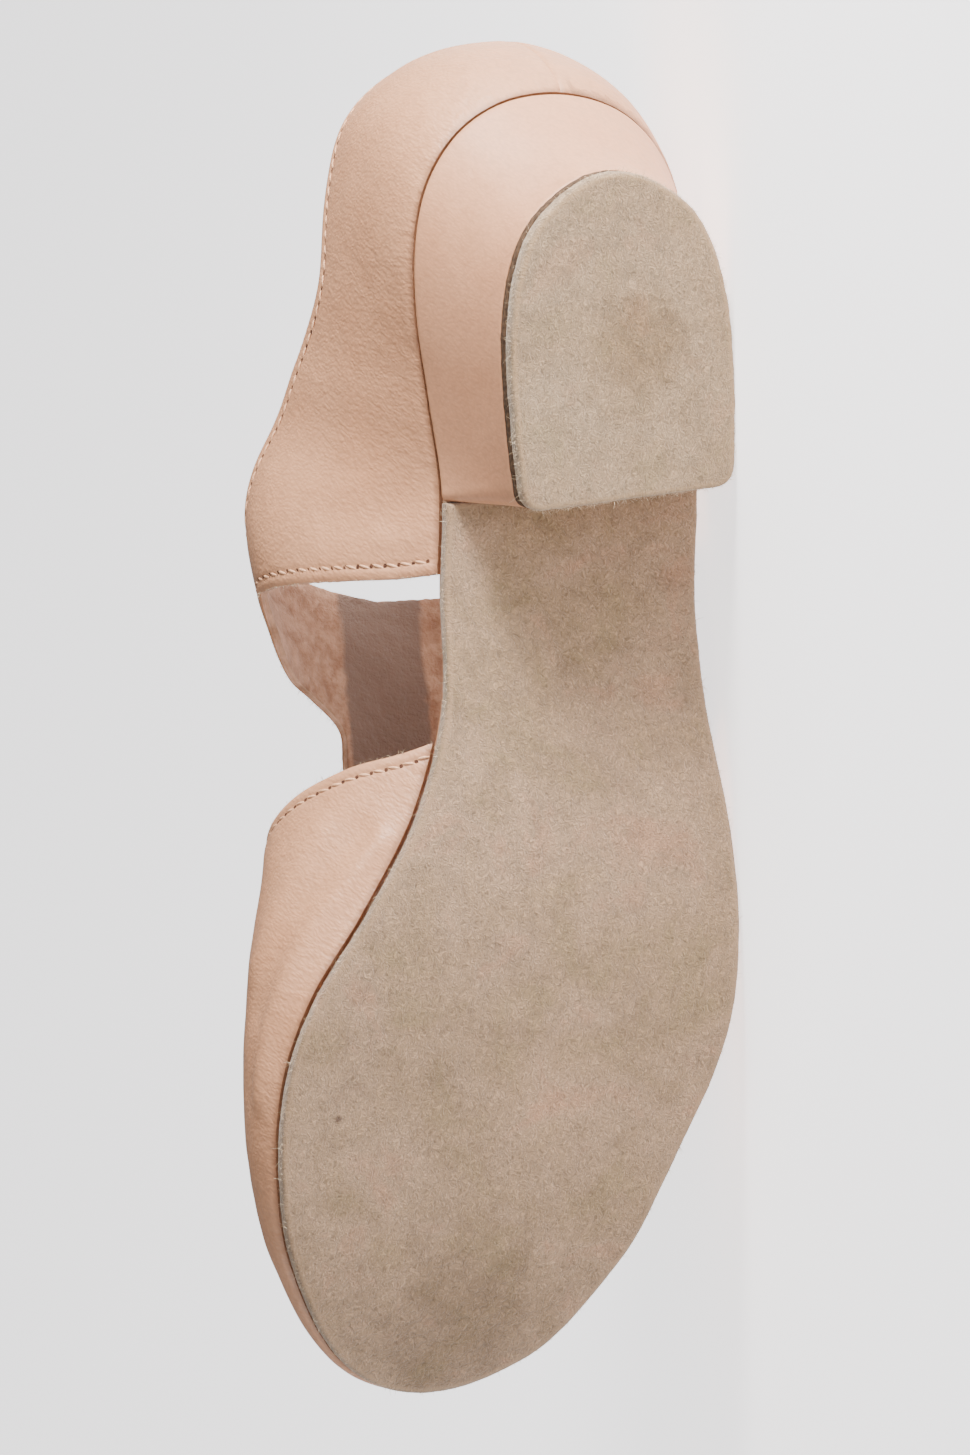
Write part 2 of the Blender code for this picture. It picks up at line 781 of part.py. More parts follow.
SHOE = bpy.data.collections.new("dance_teaching_sandal")
bpy.context.scene.collection.children.link(SHOE)
STANCE = bpy.data.objects.new("stance", None)
SHOE.objects.link(STANCE)

PARTS = [
    (build_upper(), LEATHER),
    (build_insole(), SOCK),
    (build_outsole(), SUEDE),
    (build_heel(), HEEL_LEATHER),
    (build_slab("heel_lift", TOP_PIECE_THICKNESS + GAP, LIFT_THICKNESS, LIFT_BOARD), LIFT_BOARD),
    (build_slab("top_piece", 0.0, TOP_PIECE_THICKNESS, HEEL_SUEDE), HEEL_SUEDE),
]
bpy.context.view_layer.update()
lay_down(PARTS)
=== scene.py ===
"""Looks of the dance teaching sandal: leather, suede, stitching, studio floor and camera.

The shoe is worked out in its own frame, standing on its tread: x runs from the back of the heel
seat to the toe, y to the inner side of the foot and z up, in metres. shoe_place() then carries
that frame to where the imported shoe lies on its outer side.
"""

import json
import math
import random
from functools import partial

import bmesh
import bpy
import numpy as np
from mathutils import Matrix, Vector, kdtree, noise
from mathutils.geometry import delaunay_2d_cdt


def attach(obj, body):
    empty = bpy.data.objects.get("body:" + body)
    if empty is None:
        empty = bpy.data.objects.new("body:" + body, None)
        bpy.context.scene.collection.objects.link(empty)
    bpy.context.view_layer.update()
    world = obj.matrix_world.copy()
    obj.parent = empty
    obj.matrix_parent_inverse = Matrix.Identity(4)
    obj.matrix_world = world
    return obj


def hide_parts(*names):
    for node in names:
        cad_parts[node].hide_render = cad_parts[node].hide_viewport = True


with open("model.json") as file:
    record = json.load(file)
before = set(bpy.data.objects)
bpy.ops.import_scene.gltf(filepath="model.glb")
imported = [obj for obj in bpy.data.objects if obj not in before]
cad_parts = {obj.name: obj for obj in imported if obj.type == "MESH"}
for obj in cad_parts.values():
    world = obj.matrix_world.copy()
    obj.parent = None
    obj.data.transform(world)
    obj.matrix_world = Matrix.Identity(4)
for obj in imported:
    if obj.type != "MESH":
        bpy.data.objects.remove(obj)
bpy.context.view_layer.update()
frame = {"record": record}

bl_info = {
    "name": "Dance Teaching Sandal",
    "version": (1, 0, 0),
    "blender": (4, 5, 0),
    "location": "View3D > Sidebar > Sandal",
    "description": "Makes the upper, soles, covered heel and stitching of a teaching sandal",
    "category": "Add Mesh",
}

# Driving dimensions of the shoe, in metres, as in its construction
SOLE_LENGTH = 0.2303
BALL_WIDTH = 0.0835
SEAT_HEIGHT = 0.0283
TOE_SPRING = 0.0072
INSTEP_HEIGHT = 0.0745
UPPER_WALL = 0.0016
SOLE_THICKNESS = 0.0023
INSOLE_THICKNESS = 0.0020
TOP_PIECE_THICKNESS = 0.0026
LIFT_THICKNESS = 0.0016
TIP_LENGTH = 0.0575
TIP_WIDTH = 0.0428
TIP_SET_IN = 0.0114
HEEL_OFF_CENTRE = 0.0044
BAR_WIDTH = 0.0196
STRAP_WIDTH = 0.0155
SOLE_TRIM = 0.0004
HEEL_TRIM = 0.0003
CORNER_RADIUS = 0.0040
SEAT_CORNER_RADIUS = 0.0010
GAP = 0.0003
HEEL_TURN = math.radians(-9.5)
HEEL_FLARE = 1.25
TREAD_START = 0.700
TREAD_END = 0.830
BAR_START = 0.525
BAR_END = 0.610
STRAP_FRONT = 0.490

# Two flat spots of the tread in the shoe's own frame, where the record's mounts are
TREAD_SPOT = Vector((0.176, 0.003, 0.0))
HEEL_SPOT = Vector((0.044, -0.006, 0.0))

# Fineness of the meshes, in metres
SHEET_FACET = 0.00125
EDGE_FACET = 0.0009
SOLE_FACET = 0.0019
SOCK_FACET = 0.0030
COVER_FACET = 0.0025
LAYER_FACET = 0.0011
SOLE_STEP = 0.0011
SOCK_STEP = 0.0012
HEEL_RING_POINTS = 280
CDT_EPSILON = 1e-8
# A grid's rows lie this share of a facet apart, so that its triangles are nearly even, and start
# by turns this many facets up the rib
ROW_STEP = 0.87
FIRST_ROWS = (0.95, 0.5)

# Steps in which the last's surface and the lines on it are followed
SMALL_STEP = 1e-4
RIDGE_STEP = 0.005
MARCH_STEP = 0.0008
CURVE_STEPS = 40
RIB_STEPS = 61
PATTERN_STEPS = 17
FOOT_STEPS = 1200
BREAST_STEPS = 800
HEEL_STEPS = 97
BAR_PLACES = 5
# Steps in metres along lines that others are measured from
EDGE_TRACE = 0.0002
FOOT_TRACE = 0.0003
FOLD_TRACE = 0.0004
STITCH_TRACE = 0.0005
TUFT_TRACE = 0.0008

# Lines along which the upper's sheet has points: from a cut edge, from the feather line, and
# round the heel from the back seam, which ends this share up the rib
EDGE_RINGS = (0.0006, 0.0012, 0.0018, 0.0023, 0.0028, 0.0034, 0.0042)
FOOT_RINGS = (0.0009, 0.0019)
SEAM_RINGS = (0.0, 0.0004, -0.0004, 0.0009, -0.0009, 0.0016, -0.0016)
SEAM_TOP = 0.51
# Way round the back of the heel for each radian of turn
HEEL_ROUND = 0.70 * BALL_WIDTH
# Least distance between points, as shares of the facets
RING_CLEARANCE = 0.42
GRID_CLEARANCE = 0.72

# Relief of the leather, in metres: how high or deep each form is, and half its breadth
EDGE_ROUNDING = 0.00022
EDGE_FILLING = 0.00012
EDGE_BREADTH = 0.0007
STITCH_GROOVE = 0.00026
STITCH_GROOVE_BREADTH = 0.00038
SEAM_GROOVE = 0.00036
SEAM_GROOVE_BREADTH = 0.00026
SEAM_SWELL = 0.00006
FOOT_TUCK = 0.00026
FOOT_TUCK_RISE = 0.0010
FOLDS_START = 0.0022
# Up to this far from the feather line the wall isn't cut, and beyond it the cut is this ragged
UNCUT_RISE = 0.0005
RAGGED_EDGE = 0.00007
# The greyer lining reaches this share of the bar's width from the ridge, and fades out so fast
BAND_SHARE = 0.44
BAND_FADE = 0.0004

# Unevenness of the surfaces, in metres
FACE_UNEVEN = (
    # height, size, seed
    (0.00020, 0.0130, 3.1),
    (0.00007, 0.0042, 8.7),
)
LINING_UNEVEN = (
    # height, size, seed
    (0.00016, 0.0021, 5.3),
    (0.00022, 0.0050, 1.9),
)
CUT_UNEVEN = ((0.00016, 0.0016, 2.6),)
SOLE_UNEVEN = ((0.00009, 0.011, 2.3),)
SOCK_UNEVEN = ((0.00012, 0.014, 7.7),)
COVER_UNEVEN = ((0.00010, 0.012, 9.4),)

# Stitching: how the thread lies between its needle holes, in metres and shares of a stitch
STITCH_START = 0.13
STITCH_END = 0.89
STITCH_SLANT = 0.62
STITCH_SINK = 0.00014
THREAD_RISE = 0.00016
SEAM_END_MARGIN = 0.0016
HOLE_RADIUS = 0.00044
HOLE_SINK = 0.00012

# Outline of the lasted upper where it meets the sole, shares of the ball width
OUTLINE = (
    # station, middle, half width
    (0.000, -0.055, 0.000),
    (0.013, -0.054, 0.156),
    (0.043, -0.051, 0.253),
    (0.087, -0.052, 0.310),
    (0.130, -0.060, 0.328),
    (0.174, -0.075, 0.331),
    (0.239, -0.103, 0.317),
    (0.304, -0.127, 0.303),
    (0.391, -0.122, 0.302),
    (0.465, -0.128, 0.313),
    (0.547, -0.114, 0.369),
    (0.621, -0.069, 0.437),
    (0.690, -0.011, 0.492),
    (0.738, 0.024, 0.498),
    (0.782, 0.053, 0.479),
    (0.834, 0.076, 0.443),
    (0.873, 0.086, 0.407),
    (0.916, 0.095, 0.341),
    (0.960, 0.099, 0.250),
    (0.986, 0.110, 0.150),
    (1.000, 0.115, 0.000),
)

# Underside of the sole from the seat down the shank to the tread, shares of the seat's rise
SHANK = (
    # station, height
    (0.000, 1.000),
    (0.130, 0.945),
    (0.300, 0.830),
    (0.370, 0.700),
    (0.434, 0.525),
    (0.500, 0.330),
    (0.565, 0.160),
    (0.630, 0.050),
    (0.700, 0.000),
)

# Where the rib that stands at each station of the outline meets the ridge of the instep
SPINE = (
    # station of its foot, station on the ridge
    (0.000, 0.152),
    (0.087, 0.174),
    (0.174, 0.217),
    (0.261, 0.278),
    (0.347, 0.356),
    (0.434, 0.439),
    (0.547, 0.547),
    (0.651, 0.647),
    (0.738, 0.725),
    (0.825, 0.795),
    (0.912, 0.851),
    (0.960, 0.875),
    (1.000, 0.890),
)

# Ridge of the last: height as a share of the instep height, sideways as a share of ball width
RIDGE = (
    # station, height, sideways
    (0.150, 1.340, -0.065),
    (0.260, 1.300, -0.050),
    (0.347, 1.170, -0.020),
    (0.434, 1.000, 0.012),
    (0.521, 0.866, 0.018),
    (0.586, 0.775, 0.020),
    (0.651, 0.690, 0.024),
    (0.716, 0.605, 0.040),
    (0.782, 0.530, 0.060),
    (0.847, 0.458, 0.080),
    (0.890, 0.415, 0.092),
)

# Shape of the ribs: swell of the wall above the sole and reach of the top, shares of the ball
# width, and rise of the wall, share of the instep height
RIBS = (
    # station, inner swell, outer swell, rise, inner reach, outer reach
    (0.000, 0.212, 0.212, 0.270, 0.420, 0.420),
    (0.043, 0.148, 0.135, 0.260, 0.400, 0.410),
    (0.087, 0.092, 0.085, 0.250, 0.400, 0.430),
    (0.174, 0.070, 0.040, 0.240, 0.460, 0.500),
    (0.261, 0.150, 0.095, 0.280, 0.500, 0.620),
    (0.369, 0.260, 0.150, 0.330, 0.550, 0.780),
    (0.478, 0.235, 0.150, 0.300, 0.440, 0.560),
    (0.547, 0.245, 0.135, 0.270, 0.420, 0.440),
    (0.621, 0.225, 0.125, 0.245, 0.440, 0.400),
    (0.725, 0.118, 0.125, 0.228, 0.370, 0.350),
    (0.825, 0.080, 0.100, 0.190, 0.290, 0.300),
    (0.934, 0.045, 0.070, 0.160, 0.230, 0.240),
    (1.000, 0.040, 0.040, 0.150, 0.200, 0.200),
)

# Edge of the side openings: up the quarter and along the cross strap, then down the vamp
OPENING_REAR = (
    # inner station, outer station, share up the rib
    (0.371, 0.335, 0.00),
    (0.380, 0.344, 0.08),
    (0.388, 0.353, 0.18),
    (0.400, 0.366, 0.34),
    (0.411, 0.380, 0.47),
    (0.420, 0.393, 0.555),
    (0.436, 0.414, 0.605),
    (0.465, 0.446, 0.655),
    (0.486, 0.470, 0.730),
    (0.500, 0.487, 0.815),
)
OPENING_FRONT = (
    # inner station, outer station, share up the rib
    (0.629, 0.621, 0.810),
    (0.630, 0.620, 0.740),
    (0.621, 0.606, 0.650),
    (0.605, 0.584, 0.540),
    (0.585, 0.560, 0.420),
    (0.561, 0.532, 0.300),
    (0.533, 0.502, 0.170),
    (0.511, 0.475, 0.060),
    (0.496, 0.460, 0.00),
)

# Collar, from the back of the heel to the middle of the cross strap
COLLAR = (
    # share of the way to the strap, inner share up the rib, outer share up the rib
    (0.000, 0.510, 0.510),
    (0.110, 0.490, 0.490),
    (0.250, 0.440, 0.430),
    (0.400, 0.402, 0.385),
    (0.500, 0.428, 0.405),
    (0.600, 0.468, 0.440),
    (0.700, 0.520, 0.490),
    (0.800, 0.585, 0.560),
    (0.870, 0.640, 0.620),
    (0.925, 0.710, 0.695),
    (0.965, 0.800, 0.790),
    (0.990, 0.900, 0.900),
    (1.000, 1.000, 1.000),
)

# Walking end of the heel, round at the back and square at the breast
TIP = (
    # share of its length, half width as a share of its width
    (0.000, 0.000),
    (0.045, 0.198),
    (0.150, 0.366),
    (0.375, 0.480),
    (0.720, 0.500),
    (1.000, 0.476),
)

# Soft folds of the vamp and quarter that the lasting left: each a line of
# stations and shares up the rib, with its height off the leather and half its breadth in metres
FOLDS = (
    # is on the inner side, height, half breadth, places
    (True, 0.00075, 0.0021, ((0.575, 0.040), (0.600, 0.058), (0.619, 0.072), (0.655, 0.098),
                            (0.687, 0.102), (0.725, 0.108), (0.770, 0.096))),
    (True, -0.00080, 0.0030, ((0.578, 0.105), (0.602, 0.135), (0.644, 0.172), (0.677, 0.192),
                             (0.712, 0.205))),
    (True, -0.00035, 0.0014, ((0.590, 0.018), (0.630, 0.030), (0.680, 0.040), (0.740, 0.040))),
    (True, 0.00045, 0.0030, ((0.590, 0.210), (0.640, 0.255), (0.690, 0.285))),
    (True, -0.00040, 0.0040, ((0.300, 0.030), (0.330, 0.120), (0.345, 0.240))),
    (True, 0.00030, 0.0022, ((0.340, 0.015), (0.350, 0.060), (0.356, 0.120))),
    (False, 0.00060, 0.0024, ((0.580, 0.060), (0.620, 0.085), (0.665, 0.100), (0.710, 0.100))),
    (False, -0.00060, 0.0032, ((0.570, 0.140), (0.610, 0.170), (0.660, 0.190), (0.700, 0.195))),
    (False, -0.00045, 0.0042, ((0.270, 0.040), (0.300, 0.140), (0.315, 0.260))),
    (True, -0.00040, 0.0026, ((0.690, 0.480), (0.705, 0.700), (0.712, 1.000))),
    (False, -0.00040, 0.0026, ((0.685, 0.480), (0.702, 0.700), (0.712, 1.000))),
    (True, -0.00030, 0.0022, ((0.735, 0.560), (0.742, 0.800), (0.745, 1.000))),
    (False, -0.00030, 0.0022, ((0.730, 0.560), (0.740, 0.800), (0.745, 1.000))),
)

# Short puckers above the heel seat: turn from the back as a share of the way to the breast
PUCKERS = (
    # is on the inner side, share of the way, height, half breadth, length up the rib
    (True, 0.075, -0.00040, 0.0007, 0.050),
    (True, 0.160, -0.00022, 0.0008, 0.035),
    (True, 0.240, -0.00026, 0.0009, 0.040),
    (True, 0.330, -0.00020, 0.0008, 0.030),
    (True, 0.450, -0.00024, 0.0010, 0.036),
    (True, 0.600, -0.00020, 0.0009, 0.030),
    (True, 0.780, -0.00024, 0.0010, 0.034),
    (False, 0.090, -0.00034, 0.0008, 0.045),
    (False, 0.190, -0.00024, 0.0008, 0.036),
    (False, 0.310, -0.00026, 0.0009, 0.040),
    (False, 0.470, -0.00022, 0.0010, 0.034),
    (False, 0.690, -0.00024, 0.0010, 0.036),
)

# Camera in the shoe's frame, at the photograph's angle to the shoe
CAMERA_SPOT = Vector((-0.0587, 0.5688, -1.1502))
CAMERA_DOWN = Vector((0.9872, -0.0266, -0.1574))
CAMERA_AHEAD = Vector((0.1306, -0.4316, 0.8925))
PHOTO_HEIGHT = 1455
FOCAL_PIXELS = 7410
SENSOR = 36.0


def shoe_place():
    """Where the shoe's frame stands: x along its two flat spots, z against the way they face."""
    mounts = {mount["name"]: mount for mount in frame["record"]["mounts"]}
    tread = Vector(mounts["tread"]["pos_m"])
    heel = Vector(mounts["heel_tread"]["pos_m"])
    up = -Vector(mounts["tread"]["axis"]).normalized()
    along = (tread - heel).normalized()
    span = TREAD_SPOT - HEEL_SPOT
    angle = math.atan2(span.y, span.x)
    x_axis = math.cos(angle) * along - math.sin(angle) * up.cross(along)
    turn = Matrix((x_axis, up.cross(x_axis), up)).transposed()
    return Matrix.Translation(tread - turn @ TREAD_SPOT) @ turn.to_4x4()


SHOE_PLACE = shoe_place()


def linear(hex_colour):
    """An sRGB hex colour as linear values."""
    made = []
    for start in (1, 3, 5):
        value = int(hex_colour[start : start + 2], 16) / 255
        made.append(value / 12.92 if value <= 0.04045 else ((value + 0.055) / 1.055) ** 2.4)
    return (*made, 1.0)


# The last's surface, by turn round the outline and share up the rib


def table_columns(table):
    """The columns of a table as arrays."""
    return [np.array(column) for column in zip(*table)]


def smooth(knots, values, at):
    """A smooth curve through the rows of a table, read at these places."""
    slopes = np.gradient(values, knots)
    at = np.clip(at, knots[0], knots[-1])
    row = np.clip(np.searchsorted(knots, at, side="right") - 1, 0, len(knots) - 2)
    span = knots[row + 1] - knots[row]
    u = (at - knots[row]) / span
    start = (2 * u**3 - 3 * u**2 + 1) * values[row] + (u**3 - 2 * u**2 + u) * span * slopes[row]
    end = (3 * u**2 - 2 * u**3) * values[row + 1] + (u**3 - u**2) * span * slopes[row + 1]
    return start + end


def angle_of(station):
    """Station along the length as an angle, which makes the rounded ends smooth."""
    return np.arccos(1 - 2 * np.clip(np.asarray(station, dtype=float), 0.0, 1.0))


def round_ended(stations, values, turn, odd=False):
    """A column read round the outline: it mirrors past the heel and past the toe."""
    knots = angle_of(stations)
    sign = -1.0 if odd else 1.0
    before = -knots[1:4][::-1]
    after = 2 * math.pi - knots[-4:-1][::-1]
    all_knots = np.concatenate((before, knots, after))
    all_values = np.concatenate((sign * values[1:4][::-1], values, sign * values[-4:-1][::-1]))
    return smooth(all_knots, all_values, turn)


def underside(x):
    """Height of the sole's underside: shank, flat tread and toe spring."""
    station = np.asarray(x, dtype=float) / SOLE_LENGTH
    stations, heights = table_columns(SHANK)
    seat_rise = SEAT_HEIGHT - SOLE_THICKNESS - GAP
    shank = np.where(station < TREAD_START, smooth(stations, heights, station), 0.0)
    lift = np.clip((station - TREAD_END) / (1 - TREAD_END), 0.0, None)
    return seat_rise * shank + TOE_SPRING * lift**2


def feather_height(x):
    """Height of the feather line, where the upper meets the sole or the heel seat."""
    return underside(x) + SOLE_THICKNESS + GAP


def outline_point(turn):
    """Plan of the feather line, from the heel along the inner side to the toe and back."""
    turn = np.asarray(turn, dtype=float) % (2 * math.pi)
    inner = np.where(turn > math.pi, 2 * math.pi - turn, turn)
    side = np.where(turn > math.pi, -1.0, 1.0)
    stations, middle, half = table_columns(OUTLINE)
    across = round_ended(stations, middle, inner) + side * round_ended(stations, half, inner, True)
    return np.stack((SOLE_LENGTH * (1 - np.cos(inner)) / 2, BALL_WIDTH * across), axis=-1)


def outline_normal(turn):
    """Outward direction of the feather line in plan."""
    run = outline_point(turn + SMALL_STEP) - outline_point(turn - SMALL_STEP)
    run /= np.linalg.norm(run, axis=-1, keepdims=True)
    return np.stack((-run[..., 1], run[..., 0]), axis=-1)


def ridge_point(station):
    """Point of the instep's ridge at this station along the length."""
    stations, heights, sideways = table_columns(RIDGE)
    return np.stack(
        (
            SOLE_LENGTH * station,
            BALL_WIDTH * smooth(stations, sideways, station),
            INSTEP_HEIGHT * smooth(stations, heights, station),
        ),
        axis=-1,
    )


def rib_cage(turn):
    """Four control points of the rib at each turn, from the feather line to the ridge."""
    turn = np.asarray(turn, dtype=float) % (2 * math.pi)
    inner = np.where(turn > math.pi, 2 * math.pi - turn, turn)
    is_inner = turn <= math.pi
    foot_plan = outline_point(turn)
    foot = np.concatenate((foot_plan, feather_height(foot_plan[..., :1])), axis=-1)
    feet, tops = table_columns(SPINE)
    station = round_ended(feet, tops, inner)
    top = ridge_point(station)
    ahead = ridge_point(station + RIDGE_STEP)
    behind = ridge_point(station - RIDGE_STEP)
    slope = (ahead - behind)[..., 2] / (ahead - behind)[..., 0]
    stations, swell_in, swell_out, rise, reach_in, reach_out = table_columns(RIBS)
    swell = round_ended(stations, swell_out, inner)
    swell = np.where(is_inner, round_ended(stations, swell_in, inner), swell)
    reach = round_ended(stations, reach_out, inner)
    reach = np.where(is_inner, round_ended(stations, reach_in, inner), reach)
    lift = INSTEP_HEIGHT * round_ended(stations, rise, inner)
    low = foot.copy()
    low[..., :2] += BALL_WIDTH * swell[..., None] * outline_normal(turn)
    low[..., 2] += lift
    away = foot[..., :2] - top[..., :2]
    away /= np.linalg.norm(away, axis=-1, keepdims=True)
    high = top.copy()
    high[..., :2] += BALL_WIDTH * reach[..., None] * away
    high[..., 2] += slope * BALL_WIDTH * reach * away[..., 0]
    return foot, low, high, top, away


def last_point(turn, share):
    """Point of the last's surface, this share of the way up the rib at this turn."""
    foot, low, high, top, _ = rib_cage(turn)
    h = np.asarray(share, dtype=float)[..., None]
    return (1 - h) ** 3 * foot + 3 * (1 - h) ** 2 * h * low + 3 * (1 - h) * h**2 * high + h**3 * top


def spots_of(places):
    """Points of the last's surface at rows of turn and share."""
    return last_point(places[:, 0], places[:, 1])


def flat_pattern(places):
    """The upper flattened about the ridge, with each rib laid straight out at its length."""
    _, _, _, top, away = rib_cage(places[:, 0])
    steps = np.linspace(0.0, 1.0, PATTERN_STEPS)
    up = places[:, 1:] + (1 - places[:, 1:]) * steps
    along = last_point(np.repeat(places[:, :1], len(steps), axis=1), up)
    length = np.linalg.norm(np.diff(along, axis=1), axis=-1).sum(axis=1)
    return top[:, :2] + away * length[:, None]


def signed_turn(station, inner):
    """The turn at which this station lies on the inner or the outer side."""
    turn = angle_of(station)
    return turn if inner else 2 * math.pi - turn


def way_along(spots):
    """Distance run along a line of points, at each of them."""
    return np.concatenate(([0.0], np.cumsum(np.linalg.norm(np.diff(spots, axis=0), axis=1))))


def through(places, facet):
    """Even steps along the surface on a smooth curve through these turns and shares."""
    places = np.array(places, dtype=float)
    run = way_along(spots_of(places))
    fine = np.linspace(0.0, run[-1], CURVE_STEPS * len(places))
    line = np.stack((smooth(run, places[:, 0], fine), smooth(run, places[:, 1], fine)), axis=1)
    way = way_along(spots_of(line))
    even = np.linspace(0.0, way[-1], max(2, round(way[-1] / facet)) + 1)
    return np.stack((np.interp(even, way, line[:, 0]), np.interp(even, way, line[:, 1])), axis=1)


def bar_share(station, inner):
    """How far up the rib the T-bar's edge lies at this station, half its width off the ridge."""
    shares = np.linspace(0.5, 1.0, 101)
    spots = last_point(np.full(len(shares), signed_turn(station, inner)), shares)
    off_ridge = np.linalg.norm(spots - spots[-1], axis=1)
    return float(np.interp(-BAR_WIDTH / 2, -off_ridge, shares))


def opening_edge(inner, facet):
    """Edge of one side opening, from the quarter's foot to the vamp's foot."""
    column = 0 if inner else 1
    rear = [(signed_turn(row[column], inner), row[2]) for row in OPENING_REAR]
    front = [(signed_turn(row[column], inner), row[2]) for row in OPENING_FRONT]
    bar = []
    for station in np.linspace(BAR_START, BAR_END, BAR_PLACES):
        bar.append((signed_turn(station, inner), bar_share(station, inner)))
    return through(rear + bar + front, facet)


def collar_edge(facet):
    """Both halves of the collar, each from the heel to the middle of the strap."""
    strap_back = STRAP_FRONT - STRAP_WIDTH / SOLE_LENGTH
    inner = [(signed_turn(row[0] * strap_back, True), row[1]) for row in COLLAR]
    outer = [(signed_turn(row[0] * strap_back, False), row[2]) for row in COLLAR]
    return through(inner, facet), through(outer, facet)


def foot_line(start, end, facet):
    """Places along the feather line between two turns."""
    fine = np.linspace(start, end, FOOT_STEPS)
    way = way_along(last_point(fine, np.zeros(len(fine))))
    even = np.linspace(0.0, way[-1], max(2, round(way[-1] / facet)) + 1)
    turns = np.interp(even, way, fine)
    return np.stack((turns, np.zeros(len(turns))), axis=1)


def inside(points, loops):
    """Which points lie inside the first loop and outside the others."""
    odd = np.zeros(len(points), dtype=bool)
    for loop in loops:
        for start, end in zip(loop, np.roll(loop, -1, axis=0)):
            if start[1] == end[1]:
                continue
            crosses = (start[1] > points[:, 1]) != (end[1] > points[:, 1])
            x_at = start[0] + (points[:, 1] - start[1]) * (end[0] - start[0]) / (end[1] - start[1])
            odd ^= crosses & (points[:, 0] < x_at)
    return odd


def triangles(points, loops):
    """Delaunay triangles of the points inside closed loops, which come first among the points."""
    edges = []
    start = 0
    for loop in loops:
        count = len(loop)
        edges += [(start + i, start + (i + 1) % count) for i in range(count)]
        start += count
    found = delaunay_2d_cdt([Vector(point) for point in points], edges, [], 1, CDT_EPSILON)
    origin = [source[0] for source in found[3]]
    faces = np.array([[origin[i] for i in face] for face in found[2]])
    return faces[inside(points[faces].mean(axis=1), loops)]


def thinned(places, taken, least):
    """The places whose points on the surface keep this distance from those taken before."""
    cells = {}
    near = [(x, y, z) for x in (-1, 0, 1) for y in (-1, 0, 1) for z in (-1, 0, 1)]

    def cell_of(spot):
        return tuple(int(value // least) for value in spot)

    for spot in taken:
        cells.setdefault(cell_of(spot), []).append(spot)
    kept = []
    for place, spot in zip(places, spots_of(places).tolist()):
        base = cell_of(spot)
        around = (cells.get((base[0] + x, base[1] + y, base[2] + z), ()) for x, y, z in near)
        if all(math.dist(other, spot) >= least for cell in around for other in cell):
            cells.setdefault(base, []).append(spot)
            kept.append(place)
    return np.array(kept)


# Lines on the leather, and how far it is to them


def marched(edge, distance, into):
    """A line this far into the leather from an edge, by short steps across the surface."""
    steps = max(1, math.ceil(distance / MARCH_STEP))
    turns, shares = edge[:, 0].copy(), edge[:, 1].copy()
    for _ in range(steps):
        spots = last_point(turns, shares)
        by_turn = (last_point(turns + SMALL_STEP, shares) - spots) / SMALL_STEP
        by_share = (last_point(turns, shares + SMALL_STEP) - spots) / SMALL_STEP
        run = np.gradient(spots, axis=0)
        run /= np.linalg.norm(run, axis=1, keepdims=True)
        across = into * np.cross(np.cross(by_share, by_turn), run)
        across /= np.linalg.norm(across, axis=1, keepdims=True)
        a = np.einsum("ij,ij->i", by_turn, by_turn)
        b = np.einsum("ij,ij->i", by_turn, by_share)
        c = np.einsum("ij,ij->i", by_share, by_share)
        p = np.einsum("ij,ij->i", by_turn, across)
        q = np.einsum("ij,ij->i", by_share, across)
        whole = a * c - b * b
        turns = turns + distance / steps * (c * p - b * q) / whole
        shares = np.clip(shares + distance / steps * (a * q - b * p) / whole, 0.0, 1.0)
    return np.stack((turns, shares), axis=1)


def cut_edges(facet):
    """The upper's cut edges by name, with the side of each on which its leather lies."""
    collar_inner, collar_outer = collar_edge(facet)
    return {
        "opening_inner": (opening_edge(True, facet), -1.0),
        "opening_outer": (opening_edge(False, facet), 1.0),
        "collar_inner": (collar_inner, 1.0),
        "collar_outer": (collar_outer, -1.0),
    }


class Line:
    """A line on the leather that tells how far points are from it."""

    def __init__(self, spots):
        self.tree = kdtree.KDTree(len(spots))
        for i, spot in enumerate(spots):
            self.tree.insert(spot, i)
        self.tree.balance()

    def distance(self, points):
        return np.array([self.tree.find(point)[2] for point in points])


def bump(distance, half_breadth):
    """A soft ridge's profile: one on its line, fading out to the sides."""
    return np.exp(-((distance / half_breadth) ** 2))


def soft_noise(points, size, seed):
    """Smooth unevenness of this size in metres, from -1 to 1."""
    offset = Vector((seed, 0.37 * seed, 0.71 * seed))
    return np.array([noise.noise(Vector(point) / size + offset) for point in points])


def unevenness(points, rows):
    """Height of the smooth unevenness that the rows of a table give."""
    return sum(height * soft_noise(points, size, seed) for height, size, seed in rows)


def fold_relief(points):
    """Height of the folds and puckers at each point."""
    height = np.zeros(len(points))
    for is_inner, rise, half_breadth, rows in FOLDS:
        places = through([(signed_turn(s, is_inner), share) for s, share in rows], FOLD_TRACE)
        away = Line(spots_of(places)).distance(points)
        height += rise * bump(away, half_breadth)
    for is_inner, share_of_way, rise, half_breadth, length in PUCKERS:
        turn = share_of_way * breast_turn(True)
        turn = turn if is_inner else 2 * math.pi - turn
        shares = np.linspace(0.0, length, 12)
        away = Line(last_point(np.full(12, turn), shares)).distance(points)
        height += rise * bump(away, half_breadth)
    return height


# Meshes


def place_object(name, mesh, made_of, stands_for=()):
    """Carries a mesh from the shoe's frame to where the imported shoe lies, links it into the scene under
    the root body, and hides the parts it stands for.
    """
    mesh.transform(SHOE_PLACE)
    for stuff in made_of:
        mesh.materials.append(stuff)
    piece = bpy.data.objects.new(name, mesh)
    bpy.context.scene.collection.objects.link(piece)
    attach(piece, "root")
    if stands_for:
        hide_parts(*stands_for)


